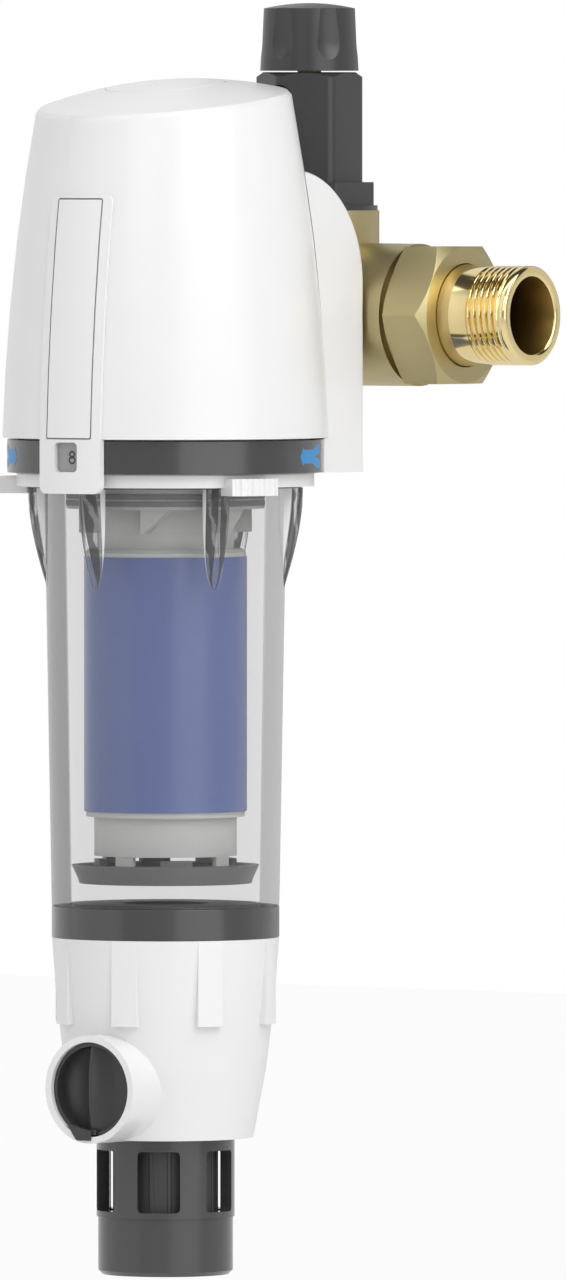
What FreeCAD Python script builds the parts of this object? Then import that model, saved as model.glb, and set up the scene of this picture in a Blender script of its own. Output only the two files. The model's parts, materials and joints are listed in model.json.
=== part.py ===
import FreeCAD, Part
import math
import os

# Household backwash filter with a pressure reducer, in millimetres. Z is the filter's axis and
# points up from the mouth of the drain spigot. The front faces -Y, and the pipe runs along X.

V = FreeCAD.Vector

# Clearances
shaft_play = 0.05         # radial, a shaft in its hole
seat_play = 0.15          # between shells and rings that are fitted together
free_gap = 0.3            # between curved faces that pass each other
stop_gap = 0.5            # left at the end of a stroke
ring_gap = 0.1            # between flat faces that slide on each other
past = 2.0                # how far a cutting tool runs past the face that it opens
sink = 1.0                # how far a piece reaches into the one that it is moulded to
square_on = 0.9           # an edge runs along an axis if its direction has this share of it
band_h = 21.0             # height of the straight bands that make up a swelling side

# Drain spigot and its nozzle
spigot_r = 22.5
spigot_cage_r = 23.05
spigot_bore_r = 19.0
spigot_tail_h = 19.3
spigot_cage_h = 26.4
spigot_chamfer = 1.4
window_count = 6
window_w = 14.3
window_low = 2.0          # above the foot of the cage
window_h = 20.4
window_round = 1.5
nozzle_r = 17.0
nozzle_bore_r = 13.0
nozzle_rib_count = 18
nozzle_rib_h = 0.6
spigot_neck_r = 21.05
spigot_neck_h = 2.3
nozzle_flange_h = 2.0

# Lower housing
housing_foot_r = 29.3
housing_top_r = 37.9
housing_bulge = 1.4
housing_h = 66.8
housing_rib_count = 8
housing_rib_w = 9.0
housing_rib_h = 28.5
housing_rib_turn = 14.5   # degrees from the front to the first rib
funnel_r = 28.0
funnel_h = 32.0
plate_step_h = 3.5

# Backwash valve
valve_z_above_cage = 17.5
collar_r = 18.0
collar_face_y = 43.2
knob_r = 15.4
knob_sink = 0.4
knob_disc_h = 4.0
knob_blade_h = 4.6
knob_blade_w = 3.0
knob_blade_foot = 12.32   # half the blade's width where it meets the disc
knob_flank_x = 4.68       # a point half way up the blade's hollow side
knob_flank_h = 1.656
knob_rim_w = 1.2
knob_rim_sink = 1.0
pointer_w = 5.0
pointer_reach = 1.6
pointer_h = 2.6
ball_r = 9.5
ball_bands = 14
ball_bore_r = 6.5
seat_r = 9.0
seat_h = 4.5
seat_reach = 10.7         # from the ball's centre to the far end of each seat
stem_r = 4.5
tang_w = 3.0
tang_h = 2.4
tang_half_l = 3.5
gland_back = 2.5
stem_entry = 2.5

# Bowl
lower_ring_h = 10.5
lower_ring_wall = 2.9
bowl_foot_r = 38.0
bowl_top_r = 40.4
bowl_bore_foot_r = 31.7
bowl_bore_top_r = 33.3
bowl_h = 139.5
bowl_rib_count = 6
bowl_rib_w = 6.8
bowl_rib_reach = 5.7
bowl_rib_h = 33.5
bowl_rib_sink = 0.6       # how deep the lower end of a finger starts inside the wall
bowl_rib_steps = 4
bowl_neck_r = 40.6
clip_groove = 1.0
bowl_neck_h = 9.3
seat_plate_h = 7.8
seat_plate_bore_r = 14.0
seat_plate_chamfer = 0.8
washer_h = 0.5

# Lock ring and month ring
lock_ring_r = 49.6
lock_ring_h = 4.1
lock_skirt_r = 46.0
lock_skirt_wall = 1.8
lock_skirt_h = 6.8
claw_count = 4
claw_reach = 1.2
claw_h = 2.4
claw_angle = 30.0
claw_turn = 45.0
claw_side_gap = 1.0       # degrees at each side of a claw in its entry
lug_angle = 68.5
lug_w = 18.0
lug_r = 56.0
lug_h = 5.7
lug_drop = 2.6
lug_flute_count = 4
lug_flute_r = 1.5
lug_flute_depth = 0.675
clip_h = 1.9
clip_reach = 2.0
clip_gap = 8.0
month_ring_r = 52.8
month_ring_wall = 2.6
month_ring_h = 11.1
bead_h = 1.8
bead_depth = 1.4

# Head under the hood
head_barrel_r = 33.4
head_h = 68.8
head_spigot_r = 33.0
head_spigot_h = 11.7
head_hub_r = 22.0
way_r = 30.2
way_h = 62.8
shelf_h = 8.8
chamber_h = 44.0
head_rim_h = 6.0
port_r = 5.5
port_wall = 2.0
inlet_port_x = -10.5
inlet_port_drop = 3.5
return_port_x = 5.0
return_port_drop = 6.5
boss_r = 24.0
flange_r = 30.0
flange_h = 6.0
flange_y = 40.0
gasket_h = 1.0
screw_circle_r = 24.5
screw_r = 3.0
screw_head_r = 5.0
screw_head_h = 4.0
screw_key_af = 5.5
screw_l = 18.0
screw_count = 4

# Filter insert
stroke = 6.2
funnel_ring_r = 31.3
funnel_ring_foot_r = 29.2
funnel_ring_bore_r = 20.5
funnel_ring_h = 6.1
funnel_wall = 2.0
funnel_floor_h = 2.5
funnel_foot_h = 1.5
funnel_bevel = 0.4
leg_h = 3.1
leg_count = 4
leg_turn = 45.0
leg_w = 7.0
tab_h = 2.0
tab_angle = 26.0
lower_tube_r = 23.8
lower_tube_wall = 2.0
lower_tube_h = 13.1
lower_cap_r = 26.5
lower_cap_h = 1.8
mesh_r = 27.2
mesh_wall = 0.8
cage_wall = 1.4
cage_bar_count = 6
cage_bar_w = 3.0
cage_band_h = 3.0
upper_cap_r = 26.9
upper_cap_h = 2.5
upper_cap_round = 1.2
neck_r = 22.8
neck_h = 5.5
vane_r = 29.7
vane_h = 9.5
vane_sink = 1.5           # how far the vanes reach up into the head's spigot
vane_count = 6
vane_turn = 19.5          # degrees from the front to the first upright edge
vane_w = 11.0
vane_foot_w = 1.2
insert_tube_r = 15.0
insert_tube_wall = 3.0
collar_ring_r = 18.0
collar_ring_h = 3.0
insert_spring_h = 20.0
insert_wire_r = 1.1
insert_spring_turns = 4
coil_steps = 16           # straight lengths in one turn of a spring
hub_r = 5.0
spoke_w = 2.0
spoke_rise = 2.0
journal_r = 3.0
journal_h = 3.5
rotor_r = 6.0
rotor_arm_count = 3
rotor_arm_w = 2.0
rotor_end_h = 6.0
rotor_frame_h = 8.0
rotor_frame_w = 4.0

# Hood
hood_foot_r = 54.4
hood_top_r = 43.0
hood_h = 109.0
hood_bulge = 2.0
hood_wall = 2.5
hood_lip_h = 3.0
hood_tilt = 6.8
hood_crown_rise = 3.2     # middle of the tilted crown above the hood's side
hood_dome_h = 6.6
crown_chamfer = 1.2
cap_r = 20.2
cap_groove = 0.25
cap_ledge = 3.0

# Front plate
plate_w = 24.7
plate_raise = 1.0
plate_top_h = 81.0        # above the hood's foot
tab_drop = 18.0           # below the hood's foot
plate_round = 2.6
label_w = 18.1
label_h = 80.0
label_inset = 0.6
label_groove = 0.2
label_round = 0.8
number_w = 9.3
number_h = 9.8
number_x = -0.8
number_up = 7.2           # window's foot above the tab's foot
number_round = 1.5
number_plate_h = 0.5

# Rear cover
rear_half_w = 40.0
rear_y = 59.0
rear_top = 101.0          # above the cover's foot
rear_round = 38.0
rear_wall = 2.5
rear_edge = 2.5
rear_cut_half_w = 34.0
rear_cut_h = 72.0

# Pipe body
pipe_y = 82.6
pipe_above_head = 52.3
body_r = 24.1
body_half_l = 40.0
bead_r = 25.0
bead_l = 2.5
body_thread_l = 10.0      # threaded end for the union nut
thread_r = 20.95
pipe_bore_r = 13.0
inlet_bore_end = 20.0
outlet_bore_end = 13.0
neck_pipe_r = 19.0
stub_r = 23.6
stub_h = 35.0

# Unions
nut_af = 46.0
nut_gap = 1.0             # between the nut and the body's shoulder
nut_lip_l = 6.4
nut_chamfer = 3.4
nut_bevel = 0.9
nut_cone_rise = 0.8       # length of the nut's cone for each mm that it narrows
nut_tail_gap = 0.4
tail_r = 16.5
tail_thread_r = 16.62
tail_collar_r = 20.0
tail_collar_l = 4.0
tail_l = 39.8
tail_plain_l = 24.2
tail_relief_r = 15.4      # undercut where the thread ends
tail_relief_l = 1.2
tail_chamfer = 1.2
union_gasket_l = 2.0

# Pressure reducer
upper_chamber_r = 16.0
upper_chamber_h = 30.5
lower_chamber_r = 9.0
lower_chamber_h = 22.0
seat_ring_r = 11.0
seat_ring_bore_r = 6.5
seat_ring_h = 5.0
seat_ring_sink = 4.0
seat_ring_chamfer = 0.6
piston_lift = 2.0
piston_h = 6.0
piston_above_floor = 14.0
piston_stem_r = 2.5
valve_disc_r = 8.0
valve_disc_h = 3.0
bonnet_spigot_h = 8.0
bonnet_flange_r = 23.0
bonnet_flange_h = 1.7
bonnet_collar_af = 38.0
bonnet_collar_h = 7.8
bonnet_collar_round = 1.0
bonnet_af = 32.0
bonnet_h = 37.0
bonnet_round = 3.5
bonnet_bore_r = 13.0
bonnet_roof = 3.0
bonnet_peep_r = 4.2
bonnet_peep_drop = 8.5
bonnet_chamfer = 1.8
bonnet_chamfer_in = 2.88
main_spring_h = 42.0
main_spring_gap = 1.3
main_wire_r = 1.5
main_spring_turns = 5
plate_travel = 3.0
key_w = 3.0
key_h = 1.2
spring_plate_h = 4.0
spring_plate_hub_r = 6.8
spring_plate_hub_h = 4.0
spindle_r = 4.0
spindle_collar_r = 6.5
spindle_collar_h = 2.0
cap_foot_r = 16.6
cap_shoulder_r = 15.4
cap_lift = 0.5
cap_h = 21.0
cap_crown_h = 1.8
cap_wall = 2.2
cap_roof = 4.0
cap_draft = 0.8
cap_hub_r = 7.0
cap_flute_count = 6
cap_flute_r = 14.0
cap_flute_depth = 1.7
cap_flute_start = 10.0

# Seal rings
cord_r = 0.9
hub_seal_drop = 3.0
spigot_seal_rise = 1.9
spigot_seal_pitch = 2.4

# Heights that follow from the sizes above
z_cage = spigot_tail_h
z_housing = z_cage + spigot_cage_h
z_valve = z_housing + valve_z_above_cage
y_blade = knob_sink - collar_face_y
y_disc = y_blade + knob_blade_h
y_recess = y_disc + knob_disc_h + stop_gap
z_bowl = z_housing + housing_h
z_lower_ring = z_bowl + lower_ring_h
z_plate = z_bowl + plate_step_h
z_plate_top = z_plate + seat_plate_h
z_ribs_top = z_lower_ring + bowl_h
z_lock = z_ribs_top + washer_h
z_head = z_lock + lock_ring_h + ring_gap
z_clip = z_head + ring_gap
z_month = z_head + free_gap
z_month_top = z_month + month_ring_h
z_hood = z_month_top + stop_gap
z_crown = z_hood + hood_h + hood_crown_rise
z_pipe = z_head + pipe_above_head
body_end_l = body_half_l + body_thread_l
nut_start = body_half_l + nut_gap
nut_end = body_end_l + union_gasket_l + tail_collar_l + free_gap + nut_lip_l
z_funnel_ring = z_plate_top + stroke + stop_gap
z_legs = z_funnel_ring + funnel_ring_h
z_tube = z_legs + leg_h
z_cap = z_tube + lower_tube_h
z_mesh = z_cap + lower_cap_h
z_vanes_top = z_head - head_spigot_h + vane_sink
z_vanes = z_vanes_top - vane_h
z_neck = z_vanes - neck_h
z_mesh_top = z_neck - upper_cap_h
z_shelf = z_head + shelf_h
z_collar_ring = z_shelf + insert_spring_h
z_stub = z_pipe + stub_h
z_chamber = z_stub - upper_chamber_h
z_seat_ring = z_chamber - seat_ring_sink
z_piston = z_chamber + piston_above_floor
z_piston_top = z_piston + piston_h
z_bonnet = z_stub + bonnet_flange_h
z_hex = z_bonnet + bonnet_collar_h
z_bonnet_top = z_hex + bonnet_h
z_spring_plate = z_piston_top + main_spring_h
z_cap_foot = z_bonnet_top + cap_lift


def cyl(radius, low, high, x=0.0, y=0.0):
    return Part.makeCylinder(radius, high - low, V(x, y, low))


def tube(outer, inner, low, high, x=0.0, y=0.0):
    return cyl(outer, low, high, x, y).cut(cyl(inner, low - past, high + past, x, y))


def cone(low_r, high_r, low, high, x=0.0, y=0.0):
    return Part.makeCone(low_r, high_r, high - low, V(x, y, low))


def along_y(radius, start, end, x, z):
    return Part.makeCylinder(radius, end - start, V(x, start, z), V(0, 1, 0))


def along_x(radius, start, end, y, z):
    return Part.makeCylinder(radius, end - start, V(start, y, z), V(1, 0, 0))


def block(x0, x1, y0, y1, z0, z1):
    return Part.makeBox(x1 - x0, y1 - y0, z1 - z0, V(x0, y0, z0))


def lathe(points, x=0.0, y=0.0):
    """Solid turned from a closed outline of (radius, height) points."""
    outline = [V(r, 0, z) for r, z in points]
    face = Part.Face(Part.makePolygon(outline + outline[:1]))
    solid = face.revolve(V(0, 0, 0), V(0, 0, 1), 360)
    return solid.translated(V(x, y, 0))


def spun(shape, angle, x=0.0, y=0.0):
    """Copy of a shape turned about a vertical axis; an angle grows from the front towards +X."""
    copy = shape.copy()
    copy.rotate(V(x, y, 0), V(0, 0, 1), angle)
    return copy


def around(shape, count, first=0.0, x=0.0, y=0.0):
    return [spun(shape, first + 360.0 * n / count, x, y) for n in range(count)]


def bulged(low_r, low_z, high_r, high_z, bulge):
    """Side that swells on an arc between two points, in bands: its radius at a height, and its joints."""
    half = math.hypot(high_r - low_r, high_z - low_z) / 2
    radius = (half ** 2 + bulge ** 2) / (2 * bulge)
    out_r = (high_z - low_z) / (2 * half)
    out_z = (low_r - high_r) / (2 * half)
    centre_r = (low_r + high_r) / 2 - out_r * (radius - bulge)
    centre_z = (low_z + high_z) / 2 - out_z * (radius - bulge)
    bands = max(1, round((high_z - low_z) / band_h))
    step = (high_z - low_z) / bands

    def arc(z):
        return centre_r + math.sqrt(radius ** 2 - (z - centre_z) ** 2)

    def radius_at(z):
        band = min(max(math.floor((z - low_z) / step), 0), bands - 1)
        share = (z - low_z) / step - band
        below = low_z + band * step
        return arc(below) * (1 - share) + arc(below + step) * share

    return radius_at, [low_z + step * n for n in range(1, bands)]


def barrel(side, low, high, grow=0.0):
    """Solid of revolution with a swelling side between two heights, grown outward if asked."""
    radius_at, joints = side
    heights = [low] + [z for z in joints if low < z < high] + [high]
    outline = [(radius_at(z) + grow, z) for z in heights]
    return lathe([(0, low)] + outline + [(0, high)])


def rounded_front(width, low, high, radius, front, back, x=0.0):
    """Upright block that shows a rectangle with rounded corners to the front."""
    solid = block(x - width / 2, x + width / 2, front, back, low, high)
    edges = [e for e in solid.Edges if abs(e.tangentAt(e.FirstParameter).y) > square_on]
    return solid.makeFillet(radius, edges)


def hexagon(across_flats, low, high, rounding=0.0, x=0.0, y=0.0):
    """Hexagonal prism with a corner to the front and one to the back."""
    corner = across_flats / math.sqrt(3)
    angles = [math.radians(60 * n) for n in range(7)]
    points = [V(x + corner * math.sin(a), y - corner * math.cos(a), low) for a in angles]
    solid = Part.Face(Part.makePolygon(points)).extrude(V(0, 0, high - low))
    if rounding:
        edges = [e for e in solid.Edges if abs(e.tangentAt(e.FirstParameter).z) > square_on]
        solid = solid.makeFillet(rounding, edges)
    return solid


def seal(radius, height, x=0.0, y=0.0):
    """Seal ring of square section with its outer edge at the given radius."""
    return tube(radius, radius - 2 * cord_r, height - cord_r, height + cord_r, x, y)


def seal_groove(radius, height, x=0.0, y=0.0):
    """Square groove for a seal ring of that outer radius, cut into the piece inside it."""
    half = cord_r + shaft_play
    return tube(radius + past, radius - 2 * half, height - half, height + half, x, y)


def coil(radius, wire_r, low, high, turns, x=0.0, y=0.0):
    """Compression spring of square wire between two heights, as short straight lengths."""
    rise = high - low - 2 * wire_r
    steps = coil_steps * turns
    corners = [(-wire_r, -wire_r), (wire_r, -wire_r), (wire_r, wire_r), (-wire_r, wire_r), (-wire_r, -wire_r)]
    sections = []
    for n in range(steps + 1):
        angle = 2 * math.pi * n / coil_steps
        z = low + wire_r + rise * n / steps
        points = [V(x + (radius + out) * math.cos(angle), y + (radius + out) * math.sin(angle), z + up)
                  for out, up in corners]
        sections.append(Part.makePolygon(points))
    return Part.makeLoft(sections, True, True)


def lay_on_pipe(shape, side):
    """Move a shape turned about Z, its height being the distance along the pipe, to one end."""
    copy = shape.copy()
    copy.rotate(V(0, 0, 0), V(0, 1, 0), 90 * side)
    return copy.translated(V(0, pipe_y, z_pipe))


housing_side = bulged(housing_foot_r, z_housing, housing_top_r, z_bowl, housing_bulge)
hood_side = bulged(hood_foot_r, z_hood, hood_top_r, z_hood + hood_h, hood_bulge)


def drain_spigot():
    body = cyl(spigot_r, 0, z_cage).fuse(cyl(spigot_cage_r, z_cage, z_housing))
    body = body.fuse(cyl(spigot_neck_r, z_housing, z_housing + spigot_neck_h))
    foot = [e for e in body.Edges if e.BoundBox.ZMax < shaft_play]
    body = body.makeChamfer(spigot_chamfer, foot)
    body = body.cut(cyl(spigot_bore_r, -past, z_cage))
    body = body.cut(cyl(spigot_bore_r - stop_gap / 2, 0, z_housing + spigot_neck_h + past))
    low = z_cage + window_low
    window = rounded_front(window_w, low, low + window_h, window_round, -spigot_cage_r - past, -nozzle_r)
    for cutter in around(window, window_count, 180 / window_count):
        body = body.cut(cutter)
    return body


def drain_nozzle():
    low = z_cage + seat_play
    top = z_housing + spigot_neck_h
    body = cyl(nozzle_r, low, top + nozzle_flange_h)
    rib = block(-nozzle_rib_h, nozzle_rib_h, -nozzle_r - nozzle_rib_h, 0, low, top)
    body = body.multiFuse(around(rib, nozzle_rib_count))
    body = body.fuse(cyl(spigot_neck_r, top, top + nozzle_flange_h))
    return body.cut(cyl(nozzle_bore_r, -past, top + nozzle_flange_h + past)).removeSplitter()


def valve_ways():
    """Spaces inside the lower housing: socket, drain bore, ball chamber, funnel and knob recess."""
    socket_top = z_housing + spigot_neck_h + nozzle_flange_h
    ways = [cyl(spigot_neck_r + shaft_play, z_housing - past, socket_top)]
    ways.append(cyl(ball_bore_r, z_housing, z_bowl))
    ways.append(cyl(seat_r, z_valve - seat_reach, z_valve + seat_reach))
    ways.append(along_y(ball_r + stop_gap, -collar_face_y, ball_r + stop_gap, 0, z_valve))
    ways.append(along_y(knob_r + free_gap, -collar_face_y - past, y_recess, 0, z_valve))
    ways.append(cone(ball_bore_r, funnel_r, z_plate - funnel_h, z_plate + shaft_play))
    return ways


def pointer_track():
    """Step in the knob's collar in which the pointer swings a quarter turn, from below to +X."""
    inner = knob_r - sink
    outer = knob_r + pointer_reach + free_gap
    back = y_blade + pointer_h + free_gap
    ring = along_y(outer, -collar_face_y - past, back, 0, z_valve)
    ring = ring.cut(along_y(inner, -collar_face_y - 2 * past, back + past, 0, z_valve))
    margin = pointer_w / 2 + free_gap
    size = 2 * collar_r
    quarter = block(-margin, size, -size * 2, 0, z_valve - size, z_valve + margin)
    return ring.common(quarter)


def lower_housing():
    body = barrel(housing_side, z_housing, z_bowl)
    rib = block(-housing_rib_w / 2, housing_rib_w / 2, -housing_top_r - past, 0,
                z_bowl - housing_rib_h, z_bowl)
    band = cyl(housing_top_r + shaft_play, z_bowl - housing_rib_h, z_bowl)
    ribs = around(rib, housing_rib_count, housing_rib_turn)
    band = band.common(ribs[0].multiFuse(ribs[1:]))
    body = body.fuse(band)
    body = body.fuse(cyl(bowl_bore_foot_r - seat_play, z_bowl, z_plate))
    body = body.fuse(along_y(collar_r, -collar_face_y, -spigot_cage_r - seat_play, 0, z_valve))
    for way in valve_ways():
        body = body.cut(way)
    return body.cut(pointer_track())


def ball_seats():
    """Two plastic rings that hold the ball from below and from above."""
    low = tube(seat_r, ball_bore_r, z_valve - seat_reach, z_valve - seat_reach + seat_h)
    high = tube(seat_r, ball_bore_r, z_valve + seat_reach - seat_h, z_valve + seat_reach)
    ball = ball_form(ball_r + shaft_play)
    return Part.makeCompound([low.cut(ball), high.cut(ball)])


def ball_form(radius):
    """Ball about the valve's centre, turned from a polygon."""
    angles = [math.pi * n / ball_bands for n in range(1, ball_bands)]
    side = [(radius * math.sin(a), z_valve - radius * math.cos(a)) for a in angles]
    return lathe([(0, z_valve - radius)] + side + [(0, z_valve + radius)])


def drain_ball():
    ball = ball_form(ball_r).cut(along_x(ball_bore_r, -2 * ball_r, 2 * ball_r, 0, z_valve))
    slot_w = tang_w / 2 + shaft_play
    slot = block(-ball_r, ball_r, -ball_r, tang_h - ball_r, z_valve - slot_w, z_valve + slot_w)
    return ball.cut(slot)


def valve_stem():
    back = -ball_r - shaft_play
    front = y_disc + knob_disc_h - stem_entry
    shaft = along_y(stem_r, front, back, 0, z_valve)
    tang = block(-tang_half_l, tang_half_l, back, -ball_r + tang_h - shaft_play,
                 z_valve - tang_w / 2, z_valve + tang_w / 2)
    return shaft.fuse(tang)


def stem_gland():
    outer = ball_r + stop_gap - shaft_play
    body = along_y(outer, y_recess, -ball_r - gland_back, 0, z_valve)
    return body.cut(along_y(stem_r + shaft_play, -collar_face_y, 0, 0, z_valve))


def knob_blade():
    """Grip across the knob: a thin ridge that widens towards the disc in two hollow slopes."""
    tip = y_blade
    root = y_disc
    wide = knob_blade_foot
    narrow = knob_blade_w / 2
    flank = root - knob_flank_h
    left = Part.Arc(V(-wide, root, 0), V(-knob_flank_x, flank, 0), V(-narrow, tip, 0))
    right = Part.Arc(V(narrow, tip, 0), V(knob_flank_x, flank, 0), V(wide, root, 0))
    crest = Part.LineSegment(V(-narrow, tip, 0), V(narrow, tip, 0))
    foot = Part.LineSegment(V(wide, root, 0), V(-wide, root, 0))
    wire = Part.Wire([left.toShape(), crest.toShape(), right.toShape(), foot.toShape()])
    blade = Part.Face(wire).extrude(V(0, 0, 2 * knob_r)).translated(V(0, 0, z_valve - knob_r))
    return blade.common(along_y(knob_r, tip - past, root + past, 0, z_valve))


def backwash_knob():
    tip = y_blade
    root = y_disc
    disc = along_y(knob_r, root, root + knob_disc_h, 0, z_valve)
    rim = along_y(knob_r, tip + knob_rim_sink, root, 0, z_valve)
    rim = rim.cut(along_y(knob_r - knob_rim_w, tip, root + past, 0, z_valve))
    pointer = block(-pointer_w / 2, pointer_w / 2, tip, tip + pointer_h,
                    z_valve - knob_r - pointer_reach, z_valve - knob_r + past)
    body = disc.multiFuse([rim, knob_blade(), pointer])
    socket = along_y(stem_r + shaft_play, root + knob_disc_h - stem_entry - shaft_play,
                     root + knob_disc_h + past, 0, z_valve)
    return body.cut(socket).removeSplitter()


def lower_ring():
    outer = lathe([(0, z_bowl), (bowl_foot_r, z_bowl), (bowl_foot_r, z_lower_ring), (0, z_lower_ring)])
    inner = bowl_foot_r - lower_ring_wall + shaft_play
    return outer.cut(cyl(inner, z_bowl - past, z_lower_ring + past))


def seat_plate():
    radius = bowl_bore_foot_r - seat_play
    body = tube(radius, seat_plate_bore_r, z_plate, z_plate_top)
    edge = [e for e in body.Edges if e.BoundBox.ZMin > z_plate_top - shaft_play]
    body = body.makeChamfer(seat_plate_chamfer, edge)
    return body.cut(seal_groove(bowl_bore_foot_r - shaft_play, z_plate + seat_plate_h / 2))


def bowl_rib():
    """One rounded finger of the bowl: sections that lean in and die into the wall below."""
    half = bowl_rib_w / 2
    root = bowl_bore_top_r + 2 * sink
    sections = []
    for n in range(bowl_rib_steps + 1):
        share = n / bowl_rib_steps
        z = z_ribs_top - bowl_rib_h * (1 - share)
        reach = (bowl_rib_reach + bowl_rib_sink) * math.sin(share * math.pi / 2) - bowl_rib_sink
        nose = bowl_top_r + reach - half
        start = V(-half, -root, z)
        left = V(-half, -nose, z)
        right = V(half, -nose, z)
        end = V(half, -root, z)
        tip = V(0, -nose - half, z)
        edges = [Part.LineSegment(start, left).toShape(), Part.Arc(left, tip, right).toShape(),
                 Part.LineSegment(right, end).toShape(), Part.LineSegment(end, start).toShape()]
        sections.append(Part.Wire(edges))
    return Part.makeLoft(sections, True, True)


def bowl():
    shank = bowl_foot_r - lower_ring_wall
    neck_top = z_ribs_top + bowl_neck_h
    neck = bowl_neck_r
    groove = neck - clip_groove
    clip = z_clip
    outline = [(0, z_bowl), (shank, z_bowl), (shank, z_lower_ring), (bowl_foot_r, z_lower_ring),
               (bowl_top_r, z_ribs_top), (neck, z_ribs_top), (neck, clip), (groove, clip),
               (groove, clip + clip_h + shaft_play), (neck, clip + clip_h + shaft_play),
               (neck, neck_top), (0, neck_top)]
    body = lathe(outline).multiFuse(around(bowl_rib(), bowl_rib_count))
    bore = lathe([(0, z_bowl - past), (bowl_bore_foot_r, z_bowl - past), (bowl_bore_foot_r, z_lower_ring),
                  (bowl_bore_top_r, z_ribs_top - head_spigot_h), (bowl_bore_top_r, neck_top + past),
                  (0, neck_top + past)])
    return body.cut(bore)


def retaining_clip():
    low = z_clip + shaft_play / 2
    groove = bowl_neck_r - clip_groove + shaft_play
    outer = bowl_top_r + clip_reach
    ring = tube(outer, groove, low, low + clip_h)
    half = outer * math.sin(math.radians(clip_gap / 2))
    return ring.cut(block(-half, half, 0, outer + past, low - past, low + clip_h + past))


def slip_washer():
    return tube(bowl_top_r + bowl_rib_reach - sink, bowl_top_r + free_gap, z_ribs_top, z_lock)


def sector(inner, outer, low, high, angle):
    """Piece of a ring centred on the front."""
    ring = tube(outer, inner, low, high)
    half = math.radians(angle / 2)
    reach = 2 * outer
    points = [V(0, 0, low - past), V(-reach * math.sin(half), -reach * math.cos(half), low - past),
              V(reach * math.sin(half), -reach * math.cos(half), low - past), V(0, 0, low - past)]
    wedge = Part.Face(Part.makePolygon(points)).extrude(V(0, 0, high - low + 2 * past))
    return ring.common(wedge)


def grip_lug():
    """Fluted thumb grip that hangs from the lock ring outside the bowl's fingers."""
    low = z_lock - lug_drop
    angle = math.degrees(lug_w / lug_r)
    lug = sector(bowl_top_r + bowl_rib_reach + free_gap, lug_r, low, low + lug_h, angle)
    step = angle / lug_flute_count
    for n in range(lug_flute_count):
        turn = (n - (lug_flute_count - 1) / 2) * step
        flute = cyl(lug_flute_r, low - past, low + lug_h + past, 0, lug_flute_depth - lug_r - lug_flute_r)
        lug = lug.cut(spun(flute, turn))
    return lug


def lock_ring():
    plate = tube(lock_ring_r, bowl_neck_r + free_gap, z_lock, z_lock + lock_ring_h)
    top = z_lock + lock_ring_h
    skirt = tube(lock_skirt_r, lock_skirt_r - lock_skirt_wall, top, top + lock_skirt_h)
    claw = sector(lock_skirt_r - sink, lock_skirt_r + claw_reach, top + lock_skirt_h - claw_h,
                  top + lock_skirt_h, claw_angle)
    lugs = [spun(grip_lug(), lug_angle), spun(grip_lug(), -lug_angle)]
    body = plate.multiFuse([skirt] + around(claw, claw_count, claw_turn) + lugs)
    return body.removeSplitter()


def claw_way():
    """Room for the lock ring in the head: a slot for its skirt and a bayonet track for its claws."""
    top = z_lock + lock_ring_h + lock_skirt_h
    wide = lock_skirt_r + claw_reach + free_gap
    inner = lock_skirt_r - lock_skirt_wall - free_gap
    slot = tube(lock_skirt_r + free_gap, inner, z_head - past, top + free_gap)
    track = tube(wide, lock_skirt_r - sink, top - claw_h - free_gap, top + free_gap)
    entry = sector(lock_skirt_r - sink, wide, z_head - past, top, claw_angle + 2 * claw_side_gap)
    return slot.multiFuse([track] + around(entry, claw_count))


def month_ring():
    top = z_month_top
    inner = month_ring_r - month_ring_wall
    outline = [(inner, z_month), (month_ring_r, z_month), (month_ring_r, top), (inner - bead_depth, top),
               (inner - bead_depth, top - bead_h), (inner, top - bead_h)]
    return lathe(outline)


def head_core():
    """Outside of the head: rim for the rings, barrel, lower spigot and the boss for the pipe body."""
    rim = month_ring_r - month_ring_wall - 2 * shaft_play
    rim_top = z_hood + head_rim_h
    body = cyl(rim, z_head, rim_top).fuse(cyl(head_barrel_r, z_head, z_head + head_h))
    body = body.fuse(cyl(head_spigot_r, z_head - head_spigot_h, z_head))
    body = body.fuse(along_y(boss_r, 0, flange_y - flange_h / 2, 0, z_pipe))
    body = body.fuse(along_y(flange_r, flange_y - flange_h, flange_y, 0, z_pipe))
    top = z_month_top
    groove = rim - bead_depth - free_gap
    low = top - bead_h - free_gap
    return body.cut(tube(rim + past, groove, low, top + free_gap))


def head_ways(body):
    """Cut the annular way down, the middle way up and the two ports to the pipe body."""
    bottom = z_head - head_spigot_h
    way = tube(way_r, head_hub_r, z_vanes_top, z_head + way_h)
    body = body.cut(way).cut(cyl(way_r, bottom - past, z_vanes_top))
    inner = insert_tube_r + shaft_play + port_wall
    port_z = z_pipe - return_port_drop
    body = body.fuse(along_y(port_r + port_wall, inner, head_barrel_r - sink, return_port_x, port_z))
    body = body.cut(along_y(port_r, 0, flange_y + past, return_port_x, port_z))
    inlet_z = z_pipe - inlet_port_drop
    body = body.cut(along_y(port_r, head_hub_r + 2 * sink, flange_y + past, inlet_port_x, inlet_z))
    body = body.cut(cyl(insert_tube_r + shaft_play, bottom - past, z_shelf + past))
    body = body.cut(cyl(collar_ring_r + free_gap, z_shelf, z_shelf + chamber_h))
    return body


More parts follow.
